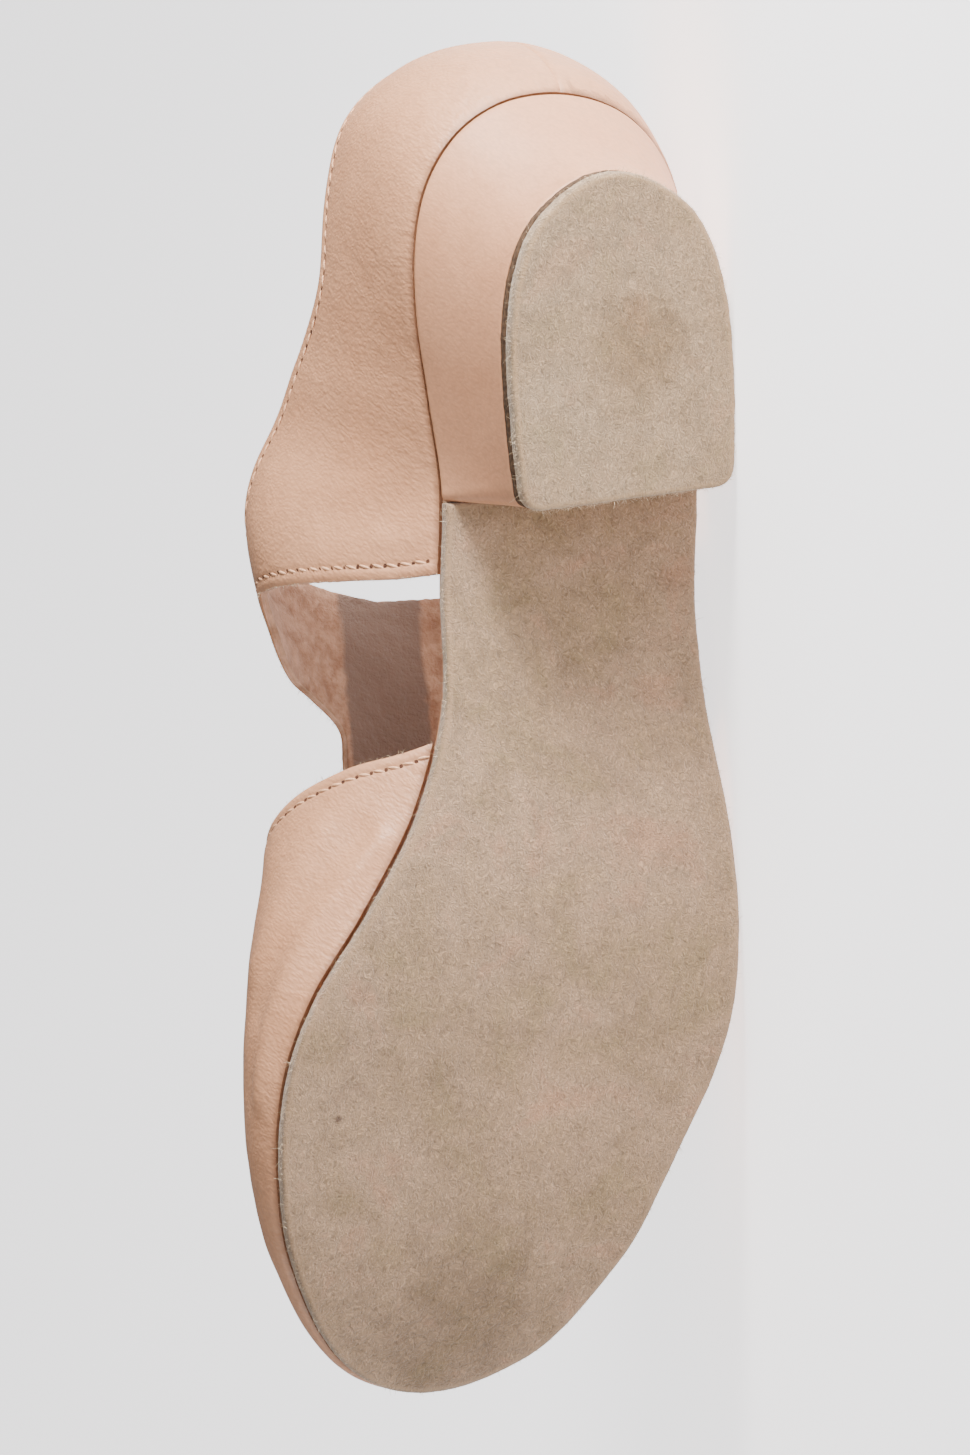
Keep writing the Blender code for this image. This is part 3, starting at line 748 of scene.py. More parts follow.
def new_mesh(name, vertices, faces, kinds=None, sharp=math.radians(60)):
    """A smooth mesh, with the number of each face's material."""
    mesh = bpy.data.meshes.new(name)
    mesh.from_pydata([tuple(map(float, v)) for v in vertices], [], [tuple(map(int, f)) for f in faces])
    if kinds is not None:
        mesh.polygons.foreach_set("material_index", np.array(kinds, dtype=np.int32))
    mesh.shade_smooth()
    mesh.set_sharp_from_angle(angle=sharp)
    return mesh


def set_attribute(mesh, name, values):
    """Gives each vertex a value that a material reads by this name."""
    layer = mesh.attributes.new(name, "FLOAT", "POINT")
    layer.data.foreach_set("value", np.asarray(values, dtype=np.float32))


def vertex_normals(vertices, faces):
    """Normals of a sheet's vertices from the triangles around them."""
    corners = vertices[faces]
    across = np.cross(corners[:, 1] - corners[:, 0], corners[:, 2] - corners[:, 0])
    normals = np.zeros_like(vertices)
    for corner in range(3):
        np.add.at(normals, faces[:, corner], across)
    return normals / np.linalg.norm(normals, axis=1, keepdims=True)


def grid_places(facet, loops):
    """Places all over the leather inside its flattened loops, staggered from rib to rib."""
    grid = []
    fine = np.linspace(0.0, 1.0, RIB_STEPS)
    for number, turn in enumerate(foot_line(0.0, 2 * math.pi, facet)[:-1, 0]):
        way = way_along(last_point(np.full(len(fine), turn), fine))
        first = facet * FIRST_ROWS[number % 2]
        shares = np.interp(np.arange(first, way[-1], ROW_STEP * facet), way, fine)
        grid.append(np.stack((np.full(len(shares), turn), shares), axis=1))
    grid = np.concatenate(grid)
    return grid[inside(flat_pattern(grid), loops)]


def upper_sheet(facet, edge_facet):
    """Places of the upper's sheet, its closed edges first, its triangles and its edges."""
    edges = cut_edges(edge_facet)
    inner_edge, outer_edge = edges["opening_inner"][0], edges["opening_outer"][0]
    collar_inner, collar_outer = edges["collar_inner"][0], edges["collar_outer"][0]
    seat = foot_line(outer_edge[0, 0] - 2 * math.pi, inner_edge[0, 0], facet)
    vamp = foot_line(inner_edge[-1, 0], outer_edge[-1, 0], facet)
    rim = np.concatenate((seat[:-1], inner_edge[:-1], vamp[:-1], outer_edge[::-1][:-1]))
    collar = np.concatenate((collar_inner[:-1], collar_outer[::-1][:-1]))
    loops = [flat_pattern(rim), flat_pattern(collar)]
    rings = []
    for edge, into in edges.values():
        for distance in EDGE_RINGS:
            rings.append(marched(edge, distance, into)[1:-1])
    for height in FOOT_RINGS:
        for line in (seat, vamp):
            rings.append(marched(line, height, 1.0)[1:-1])
    shares = np.linspace(0.01, SEAM_TOP, 50)
    for offset in SEAM_RINGS:
        turns = np.full(len(shares), offset / HEEL_ROUND)
        rings.append(np.stack((turns, shares), axis=1))
    rings = np.concatenate(rings)
    rings = rings[inside(flat_pattern(rings), loops)]
    borders = np.concatenate((rim, collar))
    rings = thinned(rings, spots_of(borders).tolist(), RING_CLEARANCE * edge_facet)
    taken = np.concatenate((borders, rings))
    grid = grid_places(facet, loops)
    grid = thinned(grid, spots_of(taken).tolist(), GRID_CLEARANCE * facet)
    places = np.concatenate((taken, grid))
    return places, triangles(flat_pattern(places), loops), (len(rim), len(collar))


def edge_relief(away, gauge):
    """Shape of a cut edge: rounded over, filled up to the stitches, drawn in along them."""
    rounding = -EDGE_ROUNDING * np.clip(1 - away / EDGE_BREADTH, 0.0, 1.0) ** 2
    filled = EDGE_FILLING * bump(away - 0.5 * gauge, EDGE_BREADTH)
    drawn_in = -STITCH_GROOVE * bump(away - gauge, STITCH_GROOVE_BREADTH)
    return rounding + filled + drawn_in


def face_relief(base, away, foot, fold_depth, margin):
    """How far the leather's face stands off the last at each point."""
    seam_line = last_point(np.zeros(200), np.linspace(0.0, SEAM_TOP, 200))
    seam = Line(seam_line).distance(base)
    height = edge_relief(away, margin)
    height += SEAM_SWELL * bump(seam - 0.0010, 0.0008) - SEAM_GROOVE * bump(seam, SEAM_GROOVE_BREADTH)
    height -= FOOT_TUCK * np.clip(1 - foot / FOOT_TUCK_RISE, 0.0, 1.0) ** 2
    height += fold_depth * np.clip(foot / FOLDS_START, 0.0, 1.0) * fold_relief(base)
    # The leather lies flatter along its stitched edges and where it is pulled over the board
    quiet = np.clip(away / 0.004, 0.15, 1.0) * np.clip(foot / 0.003, 0.2, 1.0)
    return height + quiet * unevenness(base, FACE_UNEVEN)


def lining_relief(base, away):
    """How far the lining is wrinkled off the wall's inner face, smooth along the cut edges."""
    return np.clip(away / 0.002, 0.0, 1.0) * unevenness(base, LINING_UNEVEN)


# Profile of the upper's edge between its two layers: how far it stands out and how deep it lies
RIM = (
    # reach beyond the cut, share of the wall
    (0.00012, 0.14),
    (0.00016, 0.34),
    (-0.00010, 0.46),
    (0.00012, 0.58),
    (0.00012, 0.86),
)


def build_upper(fold_depth, margin):
    """The lasted upper as two layers of leather, with a rounded edge between them."""
    places, faces, counts = upper_sheet(SHEET_FACET, EDGE_FACET)
    base = spots_of(places)
    normals = vertex_normals(base, faces)
    if np.einsum("ij,ij->i", normals, base - base.mean(axis=0)).mean() < 0:
        faces = faces[:, ::-1]
        normals = -normals
    edge_spots = np.concatenate([spots_of(edge) for edge, _ in cut_edges(EDGE_TRACE).values()])
    away = Line(edge_spots).distance(base)
    foot = Line(spots_of(foot_line(0.0, 2 * math.pi, FOOT_TRACE))).distance(base)
    skin = base + face_relief(base, away, foot, fold_depth, margin)[:, None] * normals
    inside_skin = base - (UPPER_WALL - lining_relief(base, away))[:, None] * normals

    count = len(base)
    vertices = [skin, inside_skin]
    all_faces = [*faces, *(faces[:, ::-1] + count)]
    kinds = [0] * len(faces) + [1] * len(faces)
    rises = [foot, foot]
    rng = np.random.default_rng(11)
    used = 2 * count
    for start, loop_count in zip((0, counts[0]), counts):
        loop = np.arange(start, start + loop_count)
        run = np.roll(base[loop], -1, axis=0) - np.roll(base[loop], 1, axis=0)
        outward = np.cross(run, normals[loop])
        outward /= np.linalg.norm(outward, axis=1, keepdims=True)
        # Along the feather line the wall isn't cut, and stands square on the sole
        free = foot[loop] > UNCUT_RISE
        ragged = RAGGED_EDGE * rng.standard_normal(loop_count) + unevenness(base[loop], CUT_UNEVEN)
        rows = [loop]
        for reach, depth in RIM:
            out = (free * (reach + ragged))[:, None] * outward
            vertices.append(skin[loop] + out - depth * (skin[loop] - inside_skin[loop]))
            rises.append(foot[loop])
            rows.append(np.arange(used, used + loop_count))
            used += loop_count
        rows.append(loop + count)
        for level, (upper_row, lower_row) in enumerate(zip(rows, rows[1:])):
            ahead_upper, ahead_lower = np.roll(upper_row, -1), np.roll(lower_row, -1)
            all_faces += list(np.stack((upper_row, lower_row, ahead_lower, ahead_upper), axis=1))
            kinds += [2 if level >= 1 and cut else 0 for cut in free]
    mesh = new_mesh("upper_leather", np.concatenate(vertices), all_faces, kinds)
    check = bmesh.new()
    check.from_mesh(mesh)
    bmesh.ops.recalc_face_normals(check, faces=check.faces)
    check.to_mesh(mesh)
    check.free()
    ridge = ridge_point(np.linspace(STRAP_FRONT - 0.09, BAR_END + 0.01, 300))
    band = np.clip((BAND_SHARE * BAR_WIDTH - Line(ridge).distance(base)) / BAND_FADE, 0.0, 1.0)
    on_rim = np.zeros(used - 2 * count)
    set_attribute(mesh, "edge", np.concatenate((away, away, on_rim)))
    set_attribute(mesh, "rise", np.concatenate(rises))
    set_attribute(mesh, "run", np.concatenate((places[:, 0], np.zeros(count), on_rim)))
    set_attribute(mesh, "band", np.concatenate((band, band, on_rim)))
    return mesh


def tube_faces(base, rows, sides):
    """Faces of a closed tube whose rings of vertices start at this number."""
    faces = []
    for ring in range(base, base + rows * sides, sides):
        for k in range(sides):
            a, b = ring + k, ring + (k + 1) % sides
            faces.append((a, b, b + sides, a + sides))
    faces.append([base + k for k in range(sides)][::-1])
    faces.append([base + rows * sides + k for k in range(sides)])
    return faces


def circle(sides):
    """Cosine and sine of even steps round a circle."""
    angles = [2 * math.pi * k / sides for k in range(sides)]
    return [(math.cos(angle), math.sin(angle)) for angle in angles]


def thread_mesh(name, seats, thickness, segments=8, sides=6):
    """Joined threads: each seat gives its two ends and the leather's normal."""
    vertices, faces = [], []
    for start, end, normal in seats:
        along = (end - start).normalized()
        side = along.cross(normal).normalized()
        top = side.cross(along)
        faces += tube_faces(len(vertices), segments, sides)
        for row in range(segments + 1):
            u = row / segments
            swell = math.sin(math.pi * min(max(u, 0.04), 0.96)) ** 0.45
            centre = start.lerp(end, u) + normal * THREAD_RISE * (math.sin(math.pi * u) - 0.35)
            radius = 0.5 * thickness * swell
            for c, s in circle(sides):
                vertices.append(centre + radius * (c * side + 0.8 * s * top))
    return new_mesh(name, vertices, faces)


def stitch_lines(margin):
    """Lines of stitching this margin in from the cut edges, with the leather's normals."""
    lines = []
    inner_spot = np.array((0.11, -0.005, 0.03))
    for edge, into in cut_edges(STITCH_TRACE).values():
        inset = marched(edge, margin, into)
        spots = spots_of(inset)
        by_turn = last_point(inset[:, 0] + SMALL_STEP, inset[:, 1]) - spots
        by_share = last_point(inset[:, 0], inset[:, 1] - SMALL_STEP) - spots
        normals = np.cross(by_turn, by_share)
        normals /= np.linalg.norm(normals, axis=1, keepdims=True)
        if np.einsum("ij,ij->i", normals, spots - inner_spot).mean() < 0:
            normals = -normals
        lines.append((spots, normals, into))
    return lines


def build_stitches(settings):
    """Lockstitches along the cut edges, each a little aslant, and the needle holes by them."""
    seats, holes = [], []
    for spots, normals, into in stitch_lines(settings.stitch_margin):
        way = way_along(spots)
        count = max(1, round((way[-1] - 2 * SEAM_END_MARGIN) / settings.stitch_length))
        marks = np.linspace(SEAM_END_MARGIN, way[-1] - SEAM_END_MARGIN, count + 1)
        points = np.stack([np.interp(marks, way, spots[:, k]) for k in range(3)], axis=1)
        tops = np.stack([np.interp(marks, way, normals[:, k]) for k in range(3)], axis=1)
        for i in range(count):
            a, b = Vector(points[i]), Vector(points[i + 1])
            normal = Vector(tops[i] + tops[i + 1]).normalized()
            along = (b - a).normalized()
            slant = into * along.cross(normal) * settings.thread_thickness * STITCH_SLANT
            start = a.lerp(b, STITCH_START) + slant - normal * STITCH_SINK
            end = a.lerp(b, STITCH_END) - slant - normal * STITCH_SINK
            seats.append((start, end, normal))
            holes.append((a - normal * HOLE_SINK, Vector(tops[i]).normalized(), along))
    return thread_mesh("stitching", seats, settings.thread_thickness), holes


def build_holes(holes, sides=8):
    """Needle holes: small pits, dark with painted shade, that sit in the drawn-in line."""
    vertices, faces = [], []
    for spot, normal, along in holes:
        side = along.cross(normal).normalized()
        base = len(vertices)
        vertices.append(spot + normal * 0.00004)
        vertices += [spot + HOLE_RADIUS * (0.80 * c * along + 1.25 * s * side) for c, s in circle(sides)]
        faces += [(base, base + 1 + k, base + 1 + (k + 1) % sides) for k in range(sides)]
    return new_mesh("needle_holes", vertices, faces)


# Soles and heel


def heel_axis():
    """Directions in plan along the heel and across it, to the inner side."""
    along = np.array((math.cos(HEEL_TURN), math.sin(HEEL_TURN)))
    return along, np.array((-along[1], along[0]))


def breast_turn(inner):
    """The turn at which the feather line reaches the heel's breast."""
    along, _ = heel_axis()
    turns = np.linspace(0.02, 0.5 * math.pi, BREAST_STEPS)
    if not inner:
        turns = 2 * math.pi - turns
    reached = (outline_point(turns) - outline_point(0.0)) @ along
    return float(np.interp(TIP_SET_IN + TIP_LENGTH, reached, turns))


def counter_clockwise(ring):
    """The ring in the order that turns left."""
    x, y = ring[:, 0], ring[:, 1]
    area = np.sum(x * np.roll(y, -1) - y * np.roll(x, -1))
    return ring if area > 0 else ring[::-1]


def evened(ring, count):
    """The closed ring cut at even steps into this many points."""
    closed = np.concatenate((ring, ring[:1]))
    way = way_along(closed)
    even = np.linspace(0.0, way[-1], count, endpoint=False)
    return np.stack([np.interp(even, way, closed[:, k]) for k in range(ring.shape[1])], axis=1)


def ring_outward(ring):
    """Outward direction in plan at each point of a counter-clockwise ring."""
    run = np.roll(ring, -1, axis=0) - np.roll(ring, 1, axis=0)
    run /= np.linalg.norm(run, axis=1, keepdims=True)
    return np.stack((run[:, 1], -run[:, 0]), axis=1)


def round_corners(ring, radius):
    """The ring with its first and last corners cut back and rounded by short arcs."""
    first, last = ring[0], ring[-1]
    breast = (last - first) / np.linalg.norm(last - first)
    nearest = np.minimum(np.linalg.norm(ring - first, axis=1), np.linalg.norm(ring - last, axis=1))
    side = ring[nearest > radius]
    into_side = (side[0] - first) / np.linalg.norm(side[0] - first)
    off_side = (side[-1] - last) / np.linalg.norm(side[-1] - last)
    u = np.linspace(0.0, 1.0, 13)[:, None]

    def arc(start, corner, end):
        return (1 - u) ** 2 * start + 2 * (1 - u) * u * corner + u**2 * end

    opening = arc(first + radius * breast, first, first + radius * into_side)
    closing = arc(last + radius * off_side, last, last - radius * breast)
    return np.concatenate((opening, side, closing))


def seat_ring(ways):
    """Plan of the heel block's top, from the inner breast corner round the back to the outer."""
    turns = np.where(ways > 0, breast_turn(True) * ways, (2 * math.pi - breast_turn(False)) * ways)
    return outline_point(turns) - HEEL_TRIM * outline_normal(turns)


def tip_ring(ways):
    """Plan of the heel's walking end, point for point with the seat's ring."""
    along, across = heel_axis()
    shares, halves = table_columns(TIP)
    angle = np.abs(ways) * math.pi / 2
    knots = np.arccos(1 - shares)
    knots = np.concatenate((-knots[1:3][::-1], knots))
    halves = np.concatenate((-halves[1:3][::-1], halves))
    half = TIP_WIDTH * smooth(knots, halves, angle)
    length = TIP_SET_IN + TIP_LENGTH * (1 - np.cos(angle))
    back = outline_point(0.0) + HEEL_OFF_CENTRE * across
    return back + length[:, None] * along + (np.sign(ways) * half)[:, None] * across


def heel_ring(share):
    """One ring of the heel, this share of the way up from the tip to the seat."""
    ways = np.linspace(1.0, -1.0, HEEL_STEPS)
    pull = share**HEEL_FLARE
    plan = (1 - pull) * tip_ring(ways) + pull * seat_ring(ways)
    radius = (1 - pull) * CORNER_RADIUS + pull * SEAT_CORNER_RADIUS
    return evened(round_corners(counter_clockwise(plan), radius), HEEL_RING_POINTS)


def on_floor(plan):
    """Points of a plan with a height of zero."""
    return np.concatenate((plan, np.zeros((len(plan), 1))), axis=1)


def capped_rings(name, rings, floor_height, roof_height, facet):
    """A closed skin between stacked rings, its floor and roof meshed over an even grid."""
    count = len(rings[0])
    vertices = [point for ring in rings for point in ring]
    faces = []
    for low in range(0, (len(rings) - 1) * count, count):
        for i in range(count):
            j = (i + 1) % count
            faces.append((low + i, low + j, low + count + j, low + count + i))
    for ring, height, is_roof in ((rings[0], floor_height, False), (rings[-1], roof_height, True)):
        base = (len(rings) - 1) * count if is_roof else 0
        plan = ring[:, :2]
        low, high = plan.min(axis=0), plan.max(axis=0)
        grid = []
        for row, x in enumerate(np.arange(low[0], high[0], ROW_STEP * facet)):
            shift = 0.5 * facet if row % 2 else 0.0
            grid += [(x, y) for y in np.arange(low[1] + shift, high[1], facet)]
        grid = np.array(grid)
        grid = grid[inside(grid, [plan])]
        clear = Line(on_floor(plan)).distance(on_floor(grid))
        grid = grid[clear > 0.6 * facet]
        start = len(vertices)
        vertices += list(np.concatenate((grid, height(grid)[:, None]), axis=1))
        for face in triangles(np.concatenate((plan, grid)), [plan]):
            named = [base + i if i < count else start + i - count for i in face]
            faces.append(named if is_roof else named[::-1])
    return new_mesh(name, vertices, faces, sharp=math.radians(50))


# Sections of a slab's edge, from the underside round to the top
CUT_EDGE = (
    # how far in from the outline, share of the thickness
    (0.00075, 0.00),
    (0.00030, 0.03),
    (0.00008, 0.14),
    (0.00000, 0.34),
    (0.00002, 0.62),
    (0.00000, 0.88),
    (0.00016, 0.97),
    (0.00060, 1.00),
)
SOCK_EDGE = (
    # how far in from the outline, share of the thickness
    (0.0004, 0.00),
    (0.0000, 0.10),
    (0.0000, 0.75),
    (0.0002, 0.93),
    (0.0008, 1.00),
)
# Ends of the heel's cover, tucked over the block
COVER_ENDS = (
    # level, how far in from the outline
    (0, 0.0009),
    (1, 0.00018),
    (-2, 0.00022),
    (-1, 0.0010),
)


def slab_rings(plan, low_height, thickness, ragged, seed, section=CUT_EDGE):
    """Rings of a cut slab over this plan, with a slightly ragged outline."""
    outward = ring_outward(plan)
    flat = on_floor(plan)
    uneven = 0.7 * soft_noise(flat, 0.0032, seed) + 0.5 * soft_noise(flat, 0.0011, seed + 4.0)
    rings = []
    for inset, share in section:
        ring = plan - (inset - ragged * uneven)[:, None] * outward
        height = low_height(ring) + share * thickness
        rings.append(np.concatenate((ring, height[:, None]), axis=1))
    return rings


def mark_edge(mesh, ring):
    """Gives each vertex its distance from this ring."""
    set_attribute(mesh, "edge", Line(ring).distance([vertex.co for vertex in mesh.vertices]))


def sole_turns():
    """Turns round the sole from the heel's inner breast corner by the toe to the outer one."""
    return foot_line(breast_turn(True), breast_turn(False), SOLE_STEP)[:, 0]


def build_outsole():
    """The split suede outsole: one bent sheet with a knife-cut edge, a little worn."""
    along, _ = heel_axis()
    turns = sole_turns()
    plan = outline_point(turns) - SOLE_TRIM * outline_normal(turns) + GAP * along
    breast = np.linspace(plan[-1], plan[0], 44)[1:-1]
    plan = counter_clockwise(np.concatenate((plan, breast)))

    def worn(points):
        return underside(points[:, 0]) + unevenness(on_floor(points), SOLE_UNEVEN)

    def top(points):
        return underside(points[:, 0]) + SOLE_THICKNESS

    rings = slab_rings(plan, lambda ring: underside(ring[:, 0]), SOLE_THICKNESS, 0.00011, 6.1)
    mesh = capped_rings("outsole_suede", rings, worn, top, SOLE_FACET)
    mark_edge(mesh, rings[0])
    return mesh


def build_sock():
    """The sock: the leather-covered insole board, pressed close to the upper all round."""
    turns = foot_line(0.0, 2 * math.pi, SOCK_STEP)[:-1, 0]
    plan = counter_clockwise(outline_point(turns) - (UPPER_WALL - GAP) * outline_normal(turns))

    def under(points):
        return feather_height(points[:, 0])

    def trodden(points):
        dents = unevenness(on_floor(points), SOCK_UNEVEN)
        return feather_height(points[:, 0]) + INSOLE_THICKNESS + dents

    rings = slab_rings(plan, under, INSOLE_THICKNESS, 0.00002, 3.0, SOCK_EDGE)
    return capped_rings("sock", rings, under, trodden, SOCK_FACET)


def build_heel_cover():
    """The heel block's leather cover, drawn smooth over the block and tucked in at its ends."""
    base = TOP_PIECE_THICKNESS + LIFT_THICKNESS + 2 * GAP
    levels = np.concatenate(((0.0, 0.0, 0.012), np.linspace(0.04, 0.96, 22), (0.985, 1.0, 1.0)))
    insets = np.zeros(len(levels))
    for number, inset in COVER_ENDS:
        insets[number] = inset

    def seat(points):
        return feather_height(points[:, 0]) - GAP

    rings = []
    for level, inset in zip(levels, insets):
        plan = heel_ring(level)
        plan = plan - inset * ring_outward(plan)
        height = base + level * (seat(plan) - base)
        ring = np.concatenate((plan, height[:, None]), axis=1)
        swell = unevenness(ring, COVER_UNEVEN)
        ring[:, :2] += swell[:, None] * ring_outward(plan)
        rings.append(ring)
    return capped_rings("heel_cover", rings, lambda points: np.full(len(points), base), seat, COVER_FACET)


def build_heel_layer(name, low, thickness, ragged, seed):
    """A flat layer of the heel's walking end: the dark lift, or the suede top piece."""

    def under(points):
        return np.full(len(points), low)

    def napped(points):
        return low + 0.00006 * soft_noise(on_floor(points), 0.006, seed)

    def top(points):
        return np.full(len(points), low + thickness)

    rings = slab_rings(heel_ring(0.0), under, thickness, ragged, seed)
    mesh = capped_rings(name, rings, napped, top, LAYER_FACET)
    mark_edge(mesh, rings[0])
    return mesh


# Loose fibres: how many stand along each edge, and how long they are, in metres
SOLE_HAIRS = 900
HEEL_HAIRS = 800
TUFTS = 260
LONG_HAIRS = 9
SOLE_HAIR = 0.0012
HEEL_HAIR = 0.0011
TUFT_HAIR = 0.0009
LONG_HAIR = 0.0042
SHORTEST_HAIR = 0.0003


def any_way(rng):
    """A random direction, not of unit length."""
    return Vector([rng.uniform(-1, 1) for _ in range(3)])


def fibre_mesh(name, roots, seed, rows=5, sides=3):
    """Fine tapered hairs, each from a root, along a way, of a length and thickness."""
    rng = random.Random(seed)
    vertices, faces = [], []
    for root, way, length, thickness in roots:
        curl = way.cross(any_way(rng)).normalized() * length * rng.uniform(0.15, 0.55)
        across = way.cross(curl).normalized()
        lift = way.cross(across)
        faces += tube_faces(len(vertices), rows, sides)
        for row in range(rows + 1):
            u = row / rows
            centre = root + way * length * u + curl * u * u
            radius = 0.5 * thickness * (1 - 0.75 * u)
            vertices += [centre + radius * (c * across + s * lift) for c, s in circle(sides)]
    return new_mesh(name, vertices, faces)


def fibre_roots(plan, height, count, longest, spread, seed):
    """Roots along a cut edge, with hairs pointing out and along it."""
    rng = random.Random(seed)
    outward = ring_outward(plan)
    roots = []
    for _ in range(count):
        i = rng.randrange(len(plan))
        out = Vector((*outward[i], 0.0))
        along = Vector((-outward[i][1], outward[i][0], 0.0))
        way = out * rng.uniform(0.2, 0.9) + along * rng.uniform(-1, 1) * spread
        way = (way + Vector((0, 0, rng.uniform(-0.6, 0.5)))).normalized()
        x, y = plan[i]
        z = float(height(np.array([[x, y]]))[0]) + rng.uniform(0.0001, 0.0016)
        length = longest * rng.random() ** 2.2 + SHORTEST_HAIR
        roots.append((Vector((x, y, z)), way, length, rng.uniform(0.00006, 0.00011)))
    return roots


def tuft_roots(count, longest, seed):
    """Roots along the openings' raw edges, with tufts of flesh fibre standing out."""
    rng = random.Random(seed)
    edges = cut_edges(TUFT_TRACE)
    roots = []
    for name in ("opening_inner", "opening_outer"):
        edge, into = edges[name]
        spots = spots_of(edge)
        outward = spots - spots_of(marched(edge, 0.0010, into))
        for _ in range(count):
            i = rng.randrange(len(spots))
            loose = any_way(rng)
            way = (Vector(outward[i]).normalized() * rng.uniform(0.3, 1.0) + 0.6 * loose).normalized()
            length = longest * rng.random() ** 2 + SHORTEST_HAIR
            roots.append((Vector(spots[i]), way, length, rng.uniform(0.00006, 0.00010)))
    return roots


def build_fibres():
    """The fuzz on the cut edges, with a few long hairs by the heel's inner side."""
    turns = sole_turns()
    sole_plan = counter_clockwise(outline_point(turns) - SOLE_TRIM * outline_normal(turns))
    heel_plan = heel_ring(0.0)
    _, across = heel_axis()
    is_inner = (heel_plan - heel_plan.mean(axis=0)) @ across > 0.35 * TIP_WIDTH

    def floor(points):
        return np.zeros(len(points))

    roots = fibre_roots(sole_plan, lambda p: underside(p[:, 0]), SOLE_HAIRS, SOLE_HAIR, 1.2, 21)
    roots += fibre_roots(heel_plan, floor, HEEL_HAIRS, HEEL_HAIR, 1.2, 22)
    roots += tuft_roots(TUFTS, TUFT_HAIR, 23)
    roots += fibre_roots(heel_plan[is_inner], floor, LONG_HAIRS, LONG_HAIR, 0.8, 24)
    return fibre_mesh("loose_fibres", roots, 25)


# Materials

# Places of the Mix node's colour sockets
MIX_FACTOR = 0
MIX_A = 6
MIX_B = 7
MIX_RESULT = 2
# Millimetres in a metre: a pattern's scale is this over its real size
MM = 1000


def add_node(tree, kind, inputs=(), settings=(), stops=(), output=0):
    """Adds a node with its inputs set or linked, its settings and a ramp's stops."""
    made = tree.nodes.new(kind)
    for name, value in dict(settings).items():
        setattr(made, name, value)
    for socket, value in dict(inputs).items():
        if isinstance(value, bpy.types.NodeSocket):
            tree.links.new(value, made.inputs[socket])
        else:
            made.inputs[socket].default_value = value
    if stops:
        ramp = made.color_ramp
        while len(ramp.elements) > 1:
            ramp.elements.remove(ramp.elements[-1])
        ramp.elements[0].position = stops[0][0]
        ramp.elements[0].color = stops[0][1]
        for position, colour in stops[1:]:
            ramp.elements.new(position).color = colour
    return made.outputs[output] if made.outputs else None


def new_material(name):
    """An empty material, and a way to add nodes to it."""
    made = bpy.data.materials.new(name)
    made.use_nodes = True
    made.node_tree.nodes.clear()
    return made, partial(add_node, made.node_tree)


def grey(value):
    """A colour with this value in each channel."""
    return (value, value, value, 1.0)


def tone(colour, red, green, blue):
    """A colour a little changed in each channel."""
    return tuple(min(1.0, c * f) for c, f in zip(colour[:3], (red, green, blue))) + (1.0,)


def finish_material(made, shader_inputs):
    """Gives a material its Principled shader with these inputs."""
    shader = add_node(made.node_tree, "ShaderNodeBsdfPrincipled", shader_inputs)
    add_node(made.node_tree, "ShaderNodeOutputMaterial", {"Surface": shader})
    return made


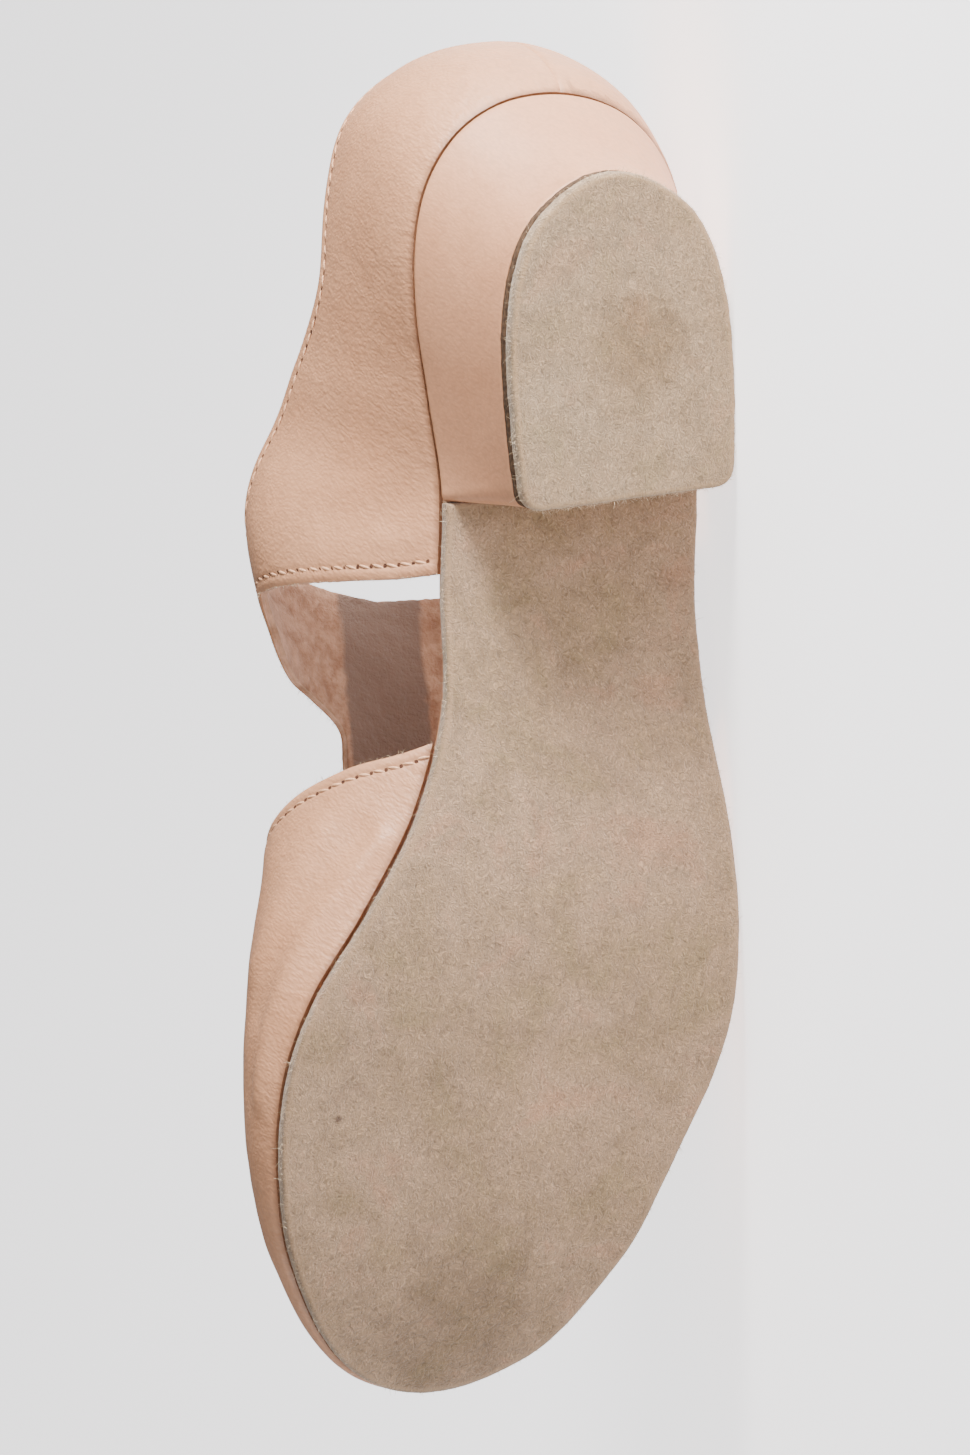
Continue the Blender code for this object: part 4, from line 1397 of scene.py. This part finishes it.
def lambskin(name, colour, grain_mm, grain_depth_mm, pleats):
    """Drum-dyed lambskin, aniline finished: fine creased grain, soft gloss, slight cloudiness."""
    made, node = new_material(name)
    place = node("ShaderNodeTexCoord", output="Object")
    cloud_mm = 14
    warp_mm = 3.1
    crease_mm = 2.6 * grain_mm
    cloud = node(
        "ShaderNodeTexNoise", {"Vector": place, "Scale": MM / cloud_mm, "Detail": 4.0, "Roughness": 0.6}
    )
    deeper = tone(colour, 0.965, 0.94, 0.92)
    lighter = tone(colour, 1.025, 1.035, 1.045)
    cloud_stops = ((0.30, deeper), (0.52, colour), (0.72, lighter))
    clouded = node("ShaderNodeValToRGB", {"Fac": cloud}, stops=cloud_stops)
    # Creased grain: cells as wide as the grain, moved by a slow warp and drawn out aslant, from
    # the top line down toward the toe
    warp = node(
        "ShaderNodeTexNoise", {"Vector": place, "Scale": MM / warp_mm, "Detail": 2.0}, output="Color"
    )
    moved = node(
        "ShaderNodeVectorMath",
        {0: warp, 1: (0.0011, 0.0011, 0.0011), 2: place},
        {"operation": "MULTIPLY_ADD"},
    )
    stretched = node(
        "ShaderNodeMapping",
        {"Vector": moved, "Rotation": (0.0, 0.70, 0.0), "Scale": (0.85, 1.5, 1.75)},
        {"vector_type": "TEXTURE"},
    )
    cells = node(
        "ShaderNodeTexVoronoi",
        {"Vector": stretched, "Scale": MM / grain_mm, "Smoothness": 0.55},
        {"feature": "SMOOTH_F1"},
        output="Distance",
    )
    creases = node(
        "ShaderNodeTexNoise",
        {"Vector": stretched, "Scale": MM / crease_mm, "Detail": 5.0, "Roughness": 0.62},
    )
    relief = node("ShaderNodeMath", {0: cells, 1: -0.55, 2: creases}, {"operation": "MULTIPLY_ADD"})
    height = relief
    if pleats:
        # Fine pleats up from the feather line, some 1.6 mm apart, gone 6 mm up
        run = node("ShaderNodeAttribute", (), {"attribute_name": "run"}, output="Fac")
        rise = node("ShaderNodeAttribute", (), {"attribute_name": "rise"}, output="Fac")
        flat = node("ShaderNodeCombineXYZ", {"X": run, "Y": rise})
        spread = node("ShaderNodeVectorMath", {0: flat, 1: (58.0, 90.0, 1.0)}, {"operation": "MULTIPLY"})
        pleat = node(
            "ShaderNodeTexNoise",
            {"Vector": spread, "Scale": 1.0, "Detail": 2.0, "Distortion": 0.4},
            {"noise_dimensions": "2D"},
        )
        fade = node(
            "ShaderNodeMapRange",
            {"Value": rise, "From Min": 0.0002, "From Max": 0.0060, "To Min": 0.75, "To Max": 0.0},
            {"interpolation_type": "SMOOTHSTEP"},
        )
        height = node("ShaderNodeMath", {0: pleat, 1: fade, 2: height}, {"operation": "MULTIPLY_ADD"})
    raised = node("ShaderNodeBump", {"Height": height, "Strength": 1.0, "Distance": grain_depth_mm / MM})
    # Painted shade: the colour darkens in the grain's creases and lightens a little on its raised parts
    crease_shade = node(
        "ShaderNodeMapRange",
        {"Value": relief, "From Min": 0.0, "From Max": 0.42, "To Min": 0.90, "To Max": 1.04},
    )
    dyed = node("ShaderNodeVectorMath", {0: clouded, "Scale": crease_shade}, {"operation": "SCALE"})
    if pleats:
        # Grime and shade along the feather line
        nearing = node(
            "ShaderNodeMapRange",
            {"Value": rise, "From Min": 0.0, "From Max": 0.0013, "To Min": 0.85, "To Max": 0.0},
            {"interpolation_type": "SMOOTHSTEP"},
        )
        dyed = node(
            "ShaderNodeMix",
            {MIX_FACTOR: nearing, MIX_A: dyed, MIX_B: (0.50, 0.47, 0.46, 1.0)},
            {"data_type": "RGBA", "blend_type": "MULTIPLY"},
            output=MIX_RESULT,
        )
    sheen = node(
        "ShaderNodeMapRange",
        {"Value": creases, "From Min": 0.3, "From Max": 0.7, "To Min": 0.42, "To Max": 0.56},
    )
    return finish_material(
        made,
        {
            "Base Color": dyed,
            "Roughness": sheen,
            "Normal": raised,
            "IOR": 1.45,
            "Specular IOR Level": 0.42,
            "Subsurface Weight": 0.03,
            "Subsurface Radius": (0.0010, 0.0005, 0.0003),
            "Subsurface Scale": 1.0,
        },
    )


def split_leather(name, light, dark, depth_mm, band_tone=None):
    """The flesh side of the hide, unfinished: rough, matt and crumpled, with short lifted fibres."""
    made, node = new_material(name)
    place = node("ShaderNodeTexCoord", output="Object")
    crumple_mm = 2.8
    fluff_mm = 0.5
    crumple = node(
        "ShaderNodeTexNoise",
        {"Vector": place, "Scale": MM / crumple_mm, "Detail": 6.0, "Roughness": 0.62, "Distortion": 0.15},
    )
    fluff = node("ShaderNodeTexNoise", {"Vector": place, "Scale": MM / fluff_mm, "Detail": 2.0})
    # Painted shade: the crumples' hollows take the dark tone and their tops the light one
    colour = node("ShaderNodeValToRGB", {"Fac": crumple}, stops=((0.34, dark), (0.62, light)))
    if band_tone:
        # A greyer strip of lining runs under the bar
        under_bar = node("ShaderNodeAttribute", (), {"attribute_name": "band"}, output="Fac")
        colour = node(
            "ShaderNodeMix",
            {MIX_FACTOR: under_bar, MIX_A: colour, MIX_B: band_tone},
            {"data_type": "RGBA"},
            output=MIX_RESULT,
        )
    height = node("ShaderNodeMath", {0: fluff, 1: 0.25, 2: crumple}, {"operation": "MULTIPLY_ADD"})
    raised = node("ShaderNodeBump", {"Height": height, "Strength": 1.0, "Distance": depth_mm / MM})
    return finish_material(
        made,
        {
            "Base Color": colour,
            "Roughness": 0.9,
            "Normal": raised,
            "Specular IOR Level": 0.2,
            "Sheen Weight": 0.15,
            "Sheen Roughness": 0.6,
        },
    )


def suede(name, tones, edge_tone, nap_mm, patch_mm, worn_and_shaded_marks):
    """Brushed suede: nap that lies in strokes, so patches of it look lighter, olive or pinkish."""
    made, node = new_material(name)
    place = node("ShaderNodeTexCoord", output="Object")
    olive, tan, pinkish, grey_tan = tones
    broad = node(
        "ShaderNodeTexNoise",
        {"Vector": place, "Scale": MM / patch_mm, "Detail": 4.0, "Roughness": 0.62, "Distortion": 0.5},
    )
    patch_stops = ((0.33, olive), (0.45, tan), (0.56, grey_tan), (0.68, pinkish))
    patches = node("ShaderNodeValToRGB", {"Fac": broad}, stops=patch_stops)
    aside = node("ShaderNodeVectorMath", {0: place, 1: (0.31, 0.17, 0.53)}, {"operation": "ADD"})
    small_mm = 0.36 * patch_mm
    second = node(
        "ShaderNodeTexNoise", {"Vector": aside, "Scale": MM / small_mm, "Detail": 5.0, "Roughness": 0.7}
    )
    tint_stops = ((0.30, grey(0.80)), (0.50, grey(1.0)), (0.70, grey(1.13)))
    tinted = node("ShaderNodeValToRGB", {"Fac": second}, stops=tint_stops)
    multiply = {"data_type": "RGBA", "blend_type": "MULTIPLY"}
    mottled = node(
        "ShaderNodeMix", {MIX_FACTOR: 1.0, MIX_A: patches, MIX_B: tinted}, multiply, output=MIX_RESULT
    )
    # Strokes of nap, drawn a little coarser than real fibres so that they show
    bend_mm = 3.4 * nap_mm
    bent = node(
        "ShaderNodeTexNoise", {"Vector": place, "Scale": MM / bend_mm, "Detail": 2.0}, output="Color"
    )
    lying = node(
        "ShaderNodeVectorMath",
        {0: bent, 1: (0.0042, 0.0042, 0.0042), 2: place},
        {"operation": "MULTIPLY_ADD"},
    )
    strokes = node(
        "ShaderNodeTexNoise", {"Vector": lying, "Scale": MM / nap_mm, "Detail": 3.0, "Roughness": 0.55}
    )
    fleck_stops = ((0.30, grey(0.58)), (0.45, grey(0.93)), (0.56, grey(1.04)), (0.68, grey(1.45)))
    flecks = node("ShaderNodeValToRGB", {"Fac": strokes}, stops=fleck_stops)
    colour = node(
        "ShaderNodeMix", {MIX_FACTOR: 1.0, MIX_A: mottled, MIX_B: flecks}, multiply, output=MIX_RESULT
    )
    # Marks: roughed wear, and painted shade where the sole's waist and toe fall in shadow
    for spot, reach, mark_tone, strength in worn_and_shaded_marks:
        middle = SHOE_PLACE @ Vector(spot)
        away = node(
            "ShaderNodeVectorMath", {0: place, 1: middle}, {"operation": "DISTANCE"}, output="Value"
        )
        loose = node("ShaderNodeMath", {0: second, 1: 0.9 * reach, 2: away}, {"operation": "MULTIPLY_ADD"})
        within = {"From Min": 0.75 * reach, "From Max": 1.5 * reach, "To Min": strength, "To Max": 0.0}
        mask = node("ShaderNodeMapRange", {"Value": loose, **within}, {"interpolation_type": "SMOOTHSTEP"})
        colour = node(
            "ShaderNodeMix", {MIX_FACTOR: mask, MIX_A: colour, MIX_B: mark_tone}, multiply, output=MIX_RESULT
        )
    near = node("ShaderNodeAttribute", (), {"attribute_name": "edge"}, output="Fac")
    rim = node(
        "ShaderNodeMapRange",
        {"Value": near, "From Min": 0.0, "From Max": 0.0007, "To Min": 0.6, "To Max": 0.0},
        {"interpolation_type": "SMOOTHSTEP"},
    )
    trimmed = node(
        "ShaderNodeMix",
        {MIX_FACTOR: rim, MIX_A: colour, MIX_B: edge_tone},
        {"data_type": "RGBA"},
        output=MIX_RESULT,
    )
    raised = node("ShaderNodeBump", {"Height": strokes, "Strength": 1.0, "Distance": 0.6 * nap_mm / MM})
    return finish_material(
        made,
        {
            "Base Color": trimmed,
            "Roughness": 0.95,
            "Normal": raised,
            "Specular IOR Level": 0.15,
            "Sheen Weight": 0.25,
            "Sheen Roughness": 0.55,
        },
    )


def plain_fibre(name, light, dark, size_mm, roughness):
    """A plain fibrous stuff, thread, board or hair: two tones in fine flecks, matt."""
    made, node = new_material(name)
    place = node("ShaderNodeTexCoord", output="Object")
    flecks = node("ShaderNodeTexNoise", {"Vector": place, "Scale": MM / size_mm, "Detail": 3.0})
    colour = node("ShaderNodeValToRGB", {"Fac": flecks}, stops=((0.35, dark), (0.65, light)))
    raised = node("ShaderNodeBump", {"Height": flecks, "Strength": 0.6, "Distance": 0.2 * size_mm / MM})
    return finish_material(
        made, {"Base Color": colour, "Roughness": roughness, "Normal": raised, "Specular IOR Level": 0.3}
    )


def paper(name, colour):
    """A matt paper sweep, lit a little from behind, so that it stays plain and pale."""
    made, _ = new_material(name)
    return finish_material(
        made,
        {
            "Base Color": colour,
            "Roughness": 0.9,
            "Specular IOR Level": 0.1,
            "Emission Color": colour,
            "Emission Strength": 1.95,
        },
    )


# Sizes and colours that a user would change


def colour_setting(name, description, hex_colour):
    """A colour that a user can change."""
    return bpy.props.FloatVectorProperty(
        name=name, description=description, subtype="COLOR", size=4, min=0.0, max=1.0,
        default=linear(hex_colour),
    )


def size_setting(name, description, default, least, most, unit="LENGTH"):
    """A size or an amount that a user can change, between these two."""
    return bpy.props.FloatProperty(
        name=name, description=description, default=default, min=least, max=most, unit=unit
    )


class SandalLeather(bpy.types.PropertyGroup):
    colour: colour_setting("Leather", "Peach dye of the upper", "#b68462")
    heel_colour: colour_setting("Heel cover", "Dye of the leather over the heel", "#bb8765")
    lining_colour: colour_setting("Lining", "Flesh side inside the straps", "#d2a588")
    band_colour: colour_setting("Bar lining", "Strip of lining under the bar", "#8d7567")
    grain: size_setting("Grain width", "Width of a grain cell in millimetres", 0.62, 0.2, 3.0, "NONE")
    fold_depth: size_setting("Fold depth", "How strongly the lasting folds stand out", 1.0, 0.0, 2.0, "NONE")


class SandalStitching(bpy.types.PropertyGroup):
    stitch_length: size_setting("Stitch length", "From one needle hole to the next", 0.0028, 0.001, 0.006)
    thread_thickness: size_setting("Thread", "Thickness of the thread", 0.00052, 0.0002, 0.001)
    stitch_margin: size_setting("Margin", "From the cut edge to the stitching", 0.0023, 0.001, 0.006)
    colour: colour_setting("Thread colour", "Dye of the thread", "#dbab88")


class SandalSoles(bpy.types.PropertyGroup):
    suede_colour: colour_setting("Sole suede", "Middle tone of the outsole", "#8a7057")
    top_piece_colour: colour_setting("Top piece", "Middle tone of the heel's walking face", "#937b60")
    lift_colour: colour_setting("Lift", "Dark board above the top piece", "#59422f")
    nap: size_setting("Nap", "Width of a stroke of nap in millimetres", 0.55, 0.1, 2.0, "NONE")


class SandalStudio(bpy.types.PropertyGroup):
    floor_colour: colour_setting("Floor", "Colour of the sweep", "#f0eeef")
    key_power: size_setting("Key light", "Softbox beyond the heel", 15.0, 0.0, 1000.0, "POWER")
    fill_power: size_setting("Fill light", "Softbox behind the camera", 36.0, 0.0, 1000.0, "POWER")
    toe_power: size_setting("Toe light", "Softbox above the toe", 16.0, 0.0, 1000.0, "POWER")
    sky: size_setting("Room light", "Even light from all round", 0.36, 0.0, 5.0, "NONE")


# How the suedes' nap lies, where they are roughed, and where painted shade darkens the sole's waist and toe,
# placed by hand

# Shares of the middle tone in red, green and blue, for olive, tan, pinkish and grey-tan patches
SOLE_TONES = ((0.84, 0.88, 0.78), (0.96, 0.97, 0.94), (1.12, 1.01, 1.00), (1.04, 1.06, 1.08))
TOP_PIECE_TONES = ((0.94, 0.96, 0.90), (1.0, 0.99, 0.97), (1.05, 0.99, 0.97), (1.02, 1.04, 1.05))
SOLE_MARKS = (
    # middle in the shoe's frame, reach, share of the colour that is left, strength
    ((0.1792, 0.0337, 0.0), 0.0009, (0.30, 0.26, 0.28, 1.0), 0.9),
    ((0.1740, -0.0080, 0.0), 0.016, (1.14, 1.13, 1.12, 1.0), 0.9),
    # Painted shadow: the heel shades the sole's waist
    ((0.0980, 0.0020, 0.012), 0.016, (0.84, 0.84, 0.80, 1.0), 0.8),
    # Painted shade: the toe turns up away from the light
    ((0.2200, 0.0060, 0.005), 0.024, (0.72, 0.71, 0.70, 1.0), 0.9),
)
TOP_PIECE_MARKS = (
    # middle in the shoe's frame, reach, share of the colour that is left, strength
    ((0.0407, -0.0103, 0.0), 0.0115, (0.74, 0.70, 0.62, 1.0), 0.9),
    ((0.0560, 0.0060, 0.0), 0.012, (1.06, 1.09, 1.12, 1.0), 0.8),
)


class SANDAL_OT_upper(bpy.types.Operator):
    """Make the lasted upper with its lining and cut edges"""

    bl_idname = "sandal.upper"
    bl_label = "Upper"

    def execute(self, context):
        leather = context.scene.sandal_leather
        margin = context.scene.sandal_stitching.stitch_margin
        flesh = tuple(leather.lining_colour)
        outer = lambskin("lambskin_aniline", tuple(leather.colour), leather.grain, 0.15, True)
        # The dark tones of the lining and of the cut edge are painted shade in the crumples
        crumple_shade = tone(flesh, 0.60, 0.54, 0.50)
        lining = split_leather("lambskin_flesh_side", flesh, crumple_shade, 0.9, tuple(leather.band_colour))
        paler = tone(flesh, 1.12, 1.14, 1.16)
        cut = split_leather("lambskin_cut_edge", paler, tone(flesh, 0.7, 0.66, 0.62), 0.2)
        mesh = build_upper(leather.fold_depth, margin)
        place_object("upper_leather", mesh, (outer, lining, cut), ("upper",))
        return {"FINISHED"}


class SANDAL_OT_stitching(bpy.types.Operator):
    """Sew the cut edges: threads and needle holes"""

    bl_idname = "sandal.stitching"
    bl_label = "Stitching"

    def execute(self, context):
        sewing = context.scene.sandal_stitching
        mesh, holes = build_stitches(sewing)
        shade = tone(sewing.colour, 0.72, 0.66, 0.6)
        thread = plain_fibre("polyester_thread_spun", tuple(sewing.colour), shade, 0.3, 0.6)
        place_object("stitching", mesh, (thread,))
        dark = plain_fibre("needle_hole_shade", linear("#5c3b2a"), linear("#33211a"), 0.3, 1.0)
        place_object("needle_holes", build_holes(holes), (dark,))
        return {"FINISHED"}


class SANDAL_OT_sock(bpy.types.Operator):
    """Make the leather sock that lies on the insole board"""

    bl_idname = "sandal.sock"
    bl_label = "Sock"

    def execute(self, context):
        dye = tone(context.scene.sandal_leather.colour, 0.92, 0.9, 0.88)
        stuff = lambskin("lambskin_sock_skiver", dye, 0.8, 0.05, False)
        place_object("sock", build_sock(), (stuff,), ("insole",))
        return {"FINISHED"}


class SANDAL_OT_outsole(bpy.types.Operator):
    """Make the split suede outsole"""

    bl_idname = "sandal.outsole"
    bl_label = "Outsole"

    def execute(self, context):
        soles = context.scene.sandal_soles
        middle = tuple(soles.suede_colour)
        tones = [tone(middle, *shares) for shares in SOLE_TONES]
        trim = tone(middle, 1.12, 1.12, 1.08)
        stuff = suede("split_suede_brushed", tones, trim, soles.nap, 15.0, SOLE_MARKS)
        place_object("outsole_suede", build_outsole(), (stuff,), ("outsole",))
        return {"FINISHED"}


class SANDAL_OT_heel(bpy.types.Operator):
    """Make the covered heel with its lift and top piece"""

    bl_idname = "sandal.heel"
    bl_label = "Heel"

    def execute(self, context):
        leather = context.scene.sandal_leather
        soles = context.scene.sandal_soles
        cover = lambskin("lambskin_drawn_smooth", tuple(leather.heel_colour), 0.55, 0.045, False)
        place_object("heel_cover", build_heel_cover(), (cover,), ("heel_block",))
        stain = tone(soles.lift_colour, 0.4, 0.4, 0.4)
        board = plain_fibre("fibre_board_stained", tuple(soles.lift_colour), stain, 0.7, 0.85)
        above = TOP_PIECE_THICKNESS + GAP
        lift = build_heel_layer("heel_lift_board", above, LIFT_THICKNESS, 0.00022, 4.4)
        place_object("heel_lift_board", lift, (board,), ("heel_lift",))
        middle = tuple(soles.top_piece_colour)
        tones = [tone(middle, *shares) for shares in TOP_PIECE_TONES]
        trim = tone(middle, 1.2, 1.14, 1.02)
        worn = suede("split_suede_worn", tones, trim, soles.nap, 11.0, TOP_PIECE_MARKS)
        face = build_heel_layer("top_piece_suede", 0.0, TOP_PIECE_THICKNESS, 0.00016, 2.2)
        place_object("top_piece_suede", face, (worn,), ("top_piece",))
        return {"FINISHED"}


class SANDAL_OT_fibres(bpy.types.Operator):
    """Add the fuzz that stands off the cut edges"""

    bl_idname = "sandal.fibres"
    bl_label = "Loose fibres"

    def execute(self, context):
        hair = plain_fibre("suede_fibre_loose", linear("#d8c3a6"), linear("#9c8468"), 0.4, 0.9)
        place_object("loose_fibres", build_fibres(), (hair,))
        return {"FINISHED"}


def soft_light(name, spot, aim, size, power, colour=(1.0, 1.0, 1.0)):
    """A square softbox that stands in the scene's frame, turned to what it lights."""
    lamp = bpy.data.lights.new(name, "AREA")
    lamp.shape = "SQUARE"
    lamp.size = size
    lamp.energy = power
    lamp.color = colour
    made = bpy.data.objects.new(name, lamp)
    bpy.context.scene.collection.objects.link(made)
    made.location = spot
    made.rotation_euler = (Vector(aim) - Vector(spot)).to_track_quat("-Z", "Y").to_euler()
    made.visible_camera = False


class SANDAL_OT_studio(bpy.types.Operator):
    """Lay the pale floor, light it softly and set the camera at the photograph's angle"""

    bl_idname = "sandal.studio"
    bl_label = "Studio"

    def execute(self, context):
        studio = context.scene.sandal_studio
        bpy.ops.mesh.primitive_plane_add(size=12.0, location=(0.0, 0.0, 0.0))
        floor = context.active_object
        floor.name = "floor"
        floor.data.materials.append(paper("paper_sweep_matt", tuple(studio.floor_colour)))

        heel, middle = (0.06, 0.0, 0.03), (0.0, 0.0, 0.04)
        warm = (1.0, 0.985, 0.97)
        soft_light("key", (0.62, -0.16, 0.13), heel, 0.22, studio.key_power, warm)
        soft_light("fill", (0.5, -3.2, 0.9), middle, 1.7, studio.fill_power)
        soft_light("toe", (-1.6, 0.25, 1.3), middle, 1.0, studio.toe_power)
        world = bpy.data.worlds.new("room")
        world.use_nodes = True
        backdrop = world.node_tree.nodes["Background"]
        backdrop.inputs["Color"].default_value = linear("#eeeef2")
        backdrop.inputs["Strength"].default_value = studio.sky
        context.scene.world = world

        lens = bpy.data.cameras.new("photograph")
        lens.sensor_width = SENSOR
        lens.lens = SENSOR * FOCAL_PIXELS / PHOTO_HEIGHT
        lens.clip_start = 0.05
        lens.clip_end = 30.0
        camera = bpy.data.objects.new("photograph", lens)
        context.scene.collection.objects.link(camera)
        up = -(SHOE_PLACE.to_3x3() @ CAMERA_DOWN).normalized()
        back = -(SHOE_PLACE.to_3x3() @ CAMERA_AHEAD).normalized()
        right = up.cross(back).normalized()
        up = back.cross(right)
        turn = Matrix((right, up, back)).transposed().to_4x4()
        camera.matrix_world = Matrix.Translation(SHOE_PLACE @ CAMERA_SPOT) @ turn
        context.scene.camera = camera
        return {"FINISHED"}


class SANDAL_PT_panel(bpy.types.Panel):
    """The sandal's pieces, in the order they are made"""

    bl_label = "Teaching Sandal"
    bl_idname = "SANDAL_PT_panel"
    bl_space_type = "VIEW_3D"
    bl_region_type = "UI"
    bl_category = "Sandal"

    def draw(self, context):
        for name in ("leather", "stitching", "soles", "studio"):
            settings = getattr(context.scene, "sandal_" + name)
            box = self.layout.box()
            for key in settings.bl_rna.properties.keys():
                if key not in ("rna_type", "name"):
                    box.prop(settings, key)
        for operator in OPERATORS:
            self.layout.operator(operator.bl_idname)


SETTINGS = (
    ("sandal_leather", SandalLeather),
    ("sandal_stitching", SandalStitching),
    ("sandal_soles", SandalSoles),
    ("sandal_studio", SandalStudio),
)
OPERATORS = (
    SANDAL_OT_upper,
    SANDAL_OT_stitching,
    SANDAL_OT_sock,
    SANDAL_OT_outsole,
    SANDAL_OT_heel,
    SANDAL_OT_fibres,
    SANDAL_OT_studio,
)


def register():
    """Adds the settings, the operators and the panel."""
    for name, group in SETTINGS:
        bpy.utils.register_class(group)
        setattr(bpy.types.Scene, name, bpy.props.PointerProperty(type=group))
    for kind in (*OPERATORS, SANDAL_PT_panel):
        bpy.utils.register_class(kind)


def unregister():
    """Takes them out again, the last first."""
    for kind in (SANDAL_PT_panel, *reversed(OPERATORS)):
        bpy.utils.unregister_class(kind)
    for name, group in reversed(SETTINGS):
        delattr(bpy.types.Scene, name)
        bpy.utils.unregister_class(group)


def main():
    """Makes every piece and the studio."""
    register()
    bpy.ops.sandal.upper()
    bpy.ops.sandal.stitching()
    bpy.ops.sandal.sock()
    bpy.ops.sandal.outsole()
    bpy.ops.sandal.heel()
    bpy.ops.sandal.fibres()
    bpy.ops.sandal.studio()


if __name__ == "__main__":
    main()
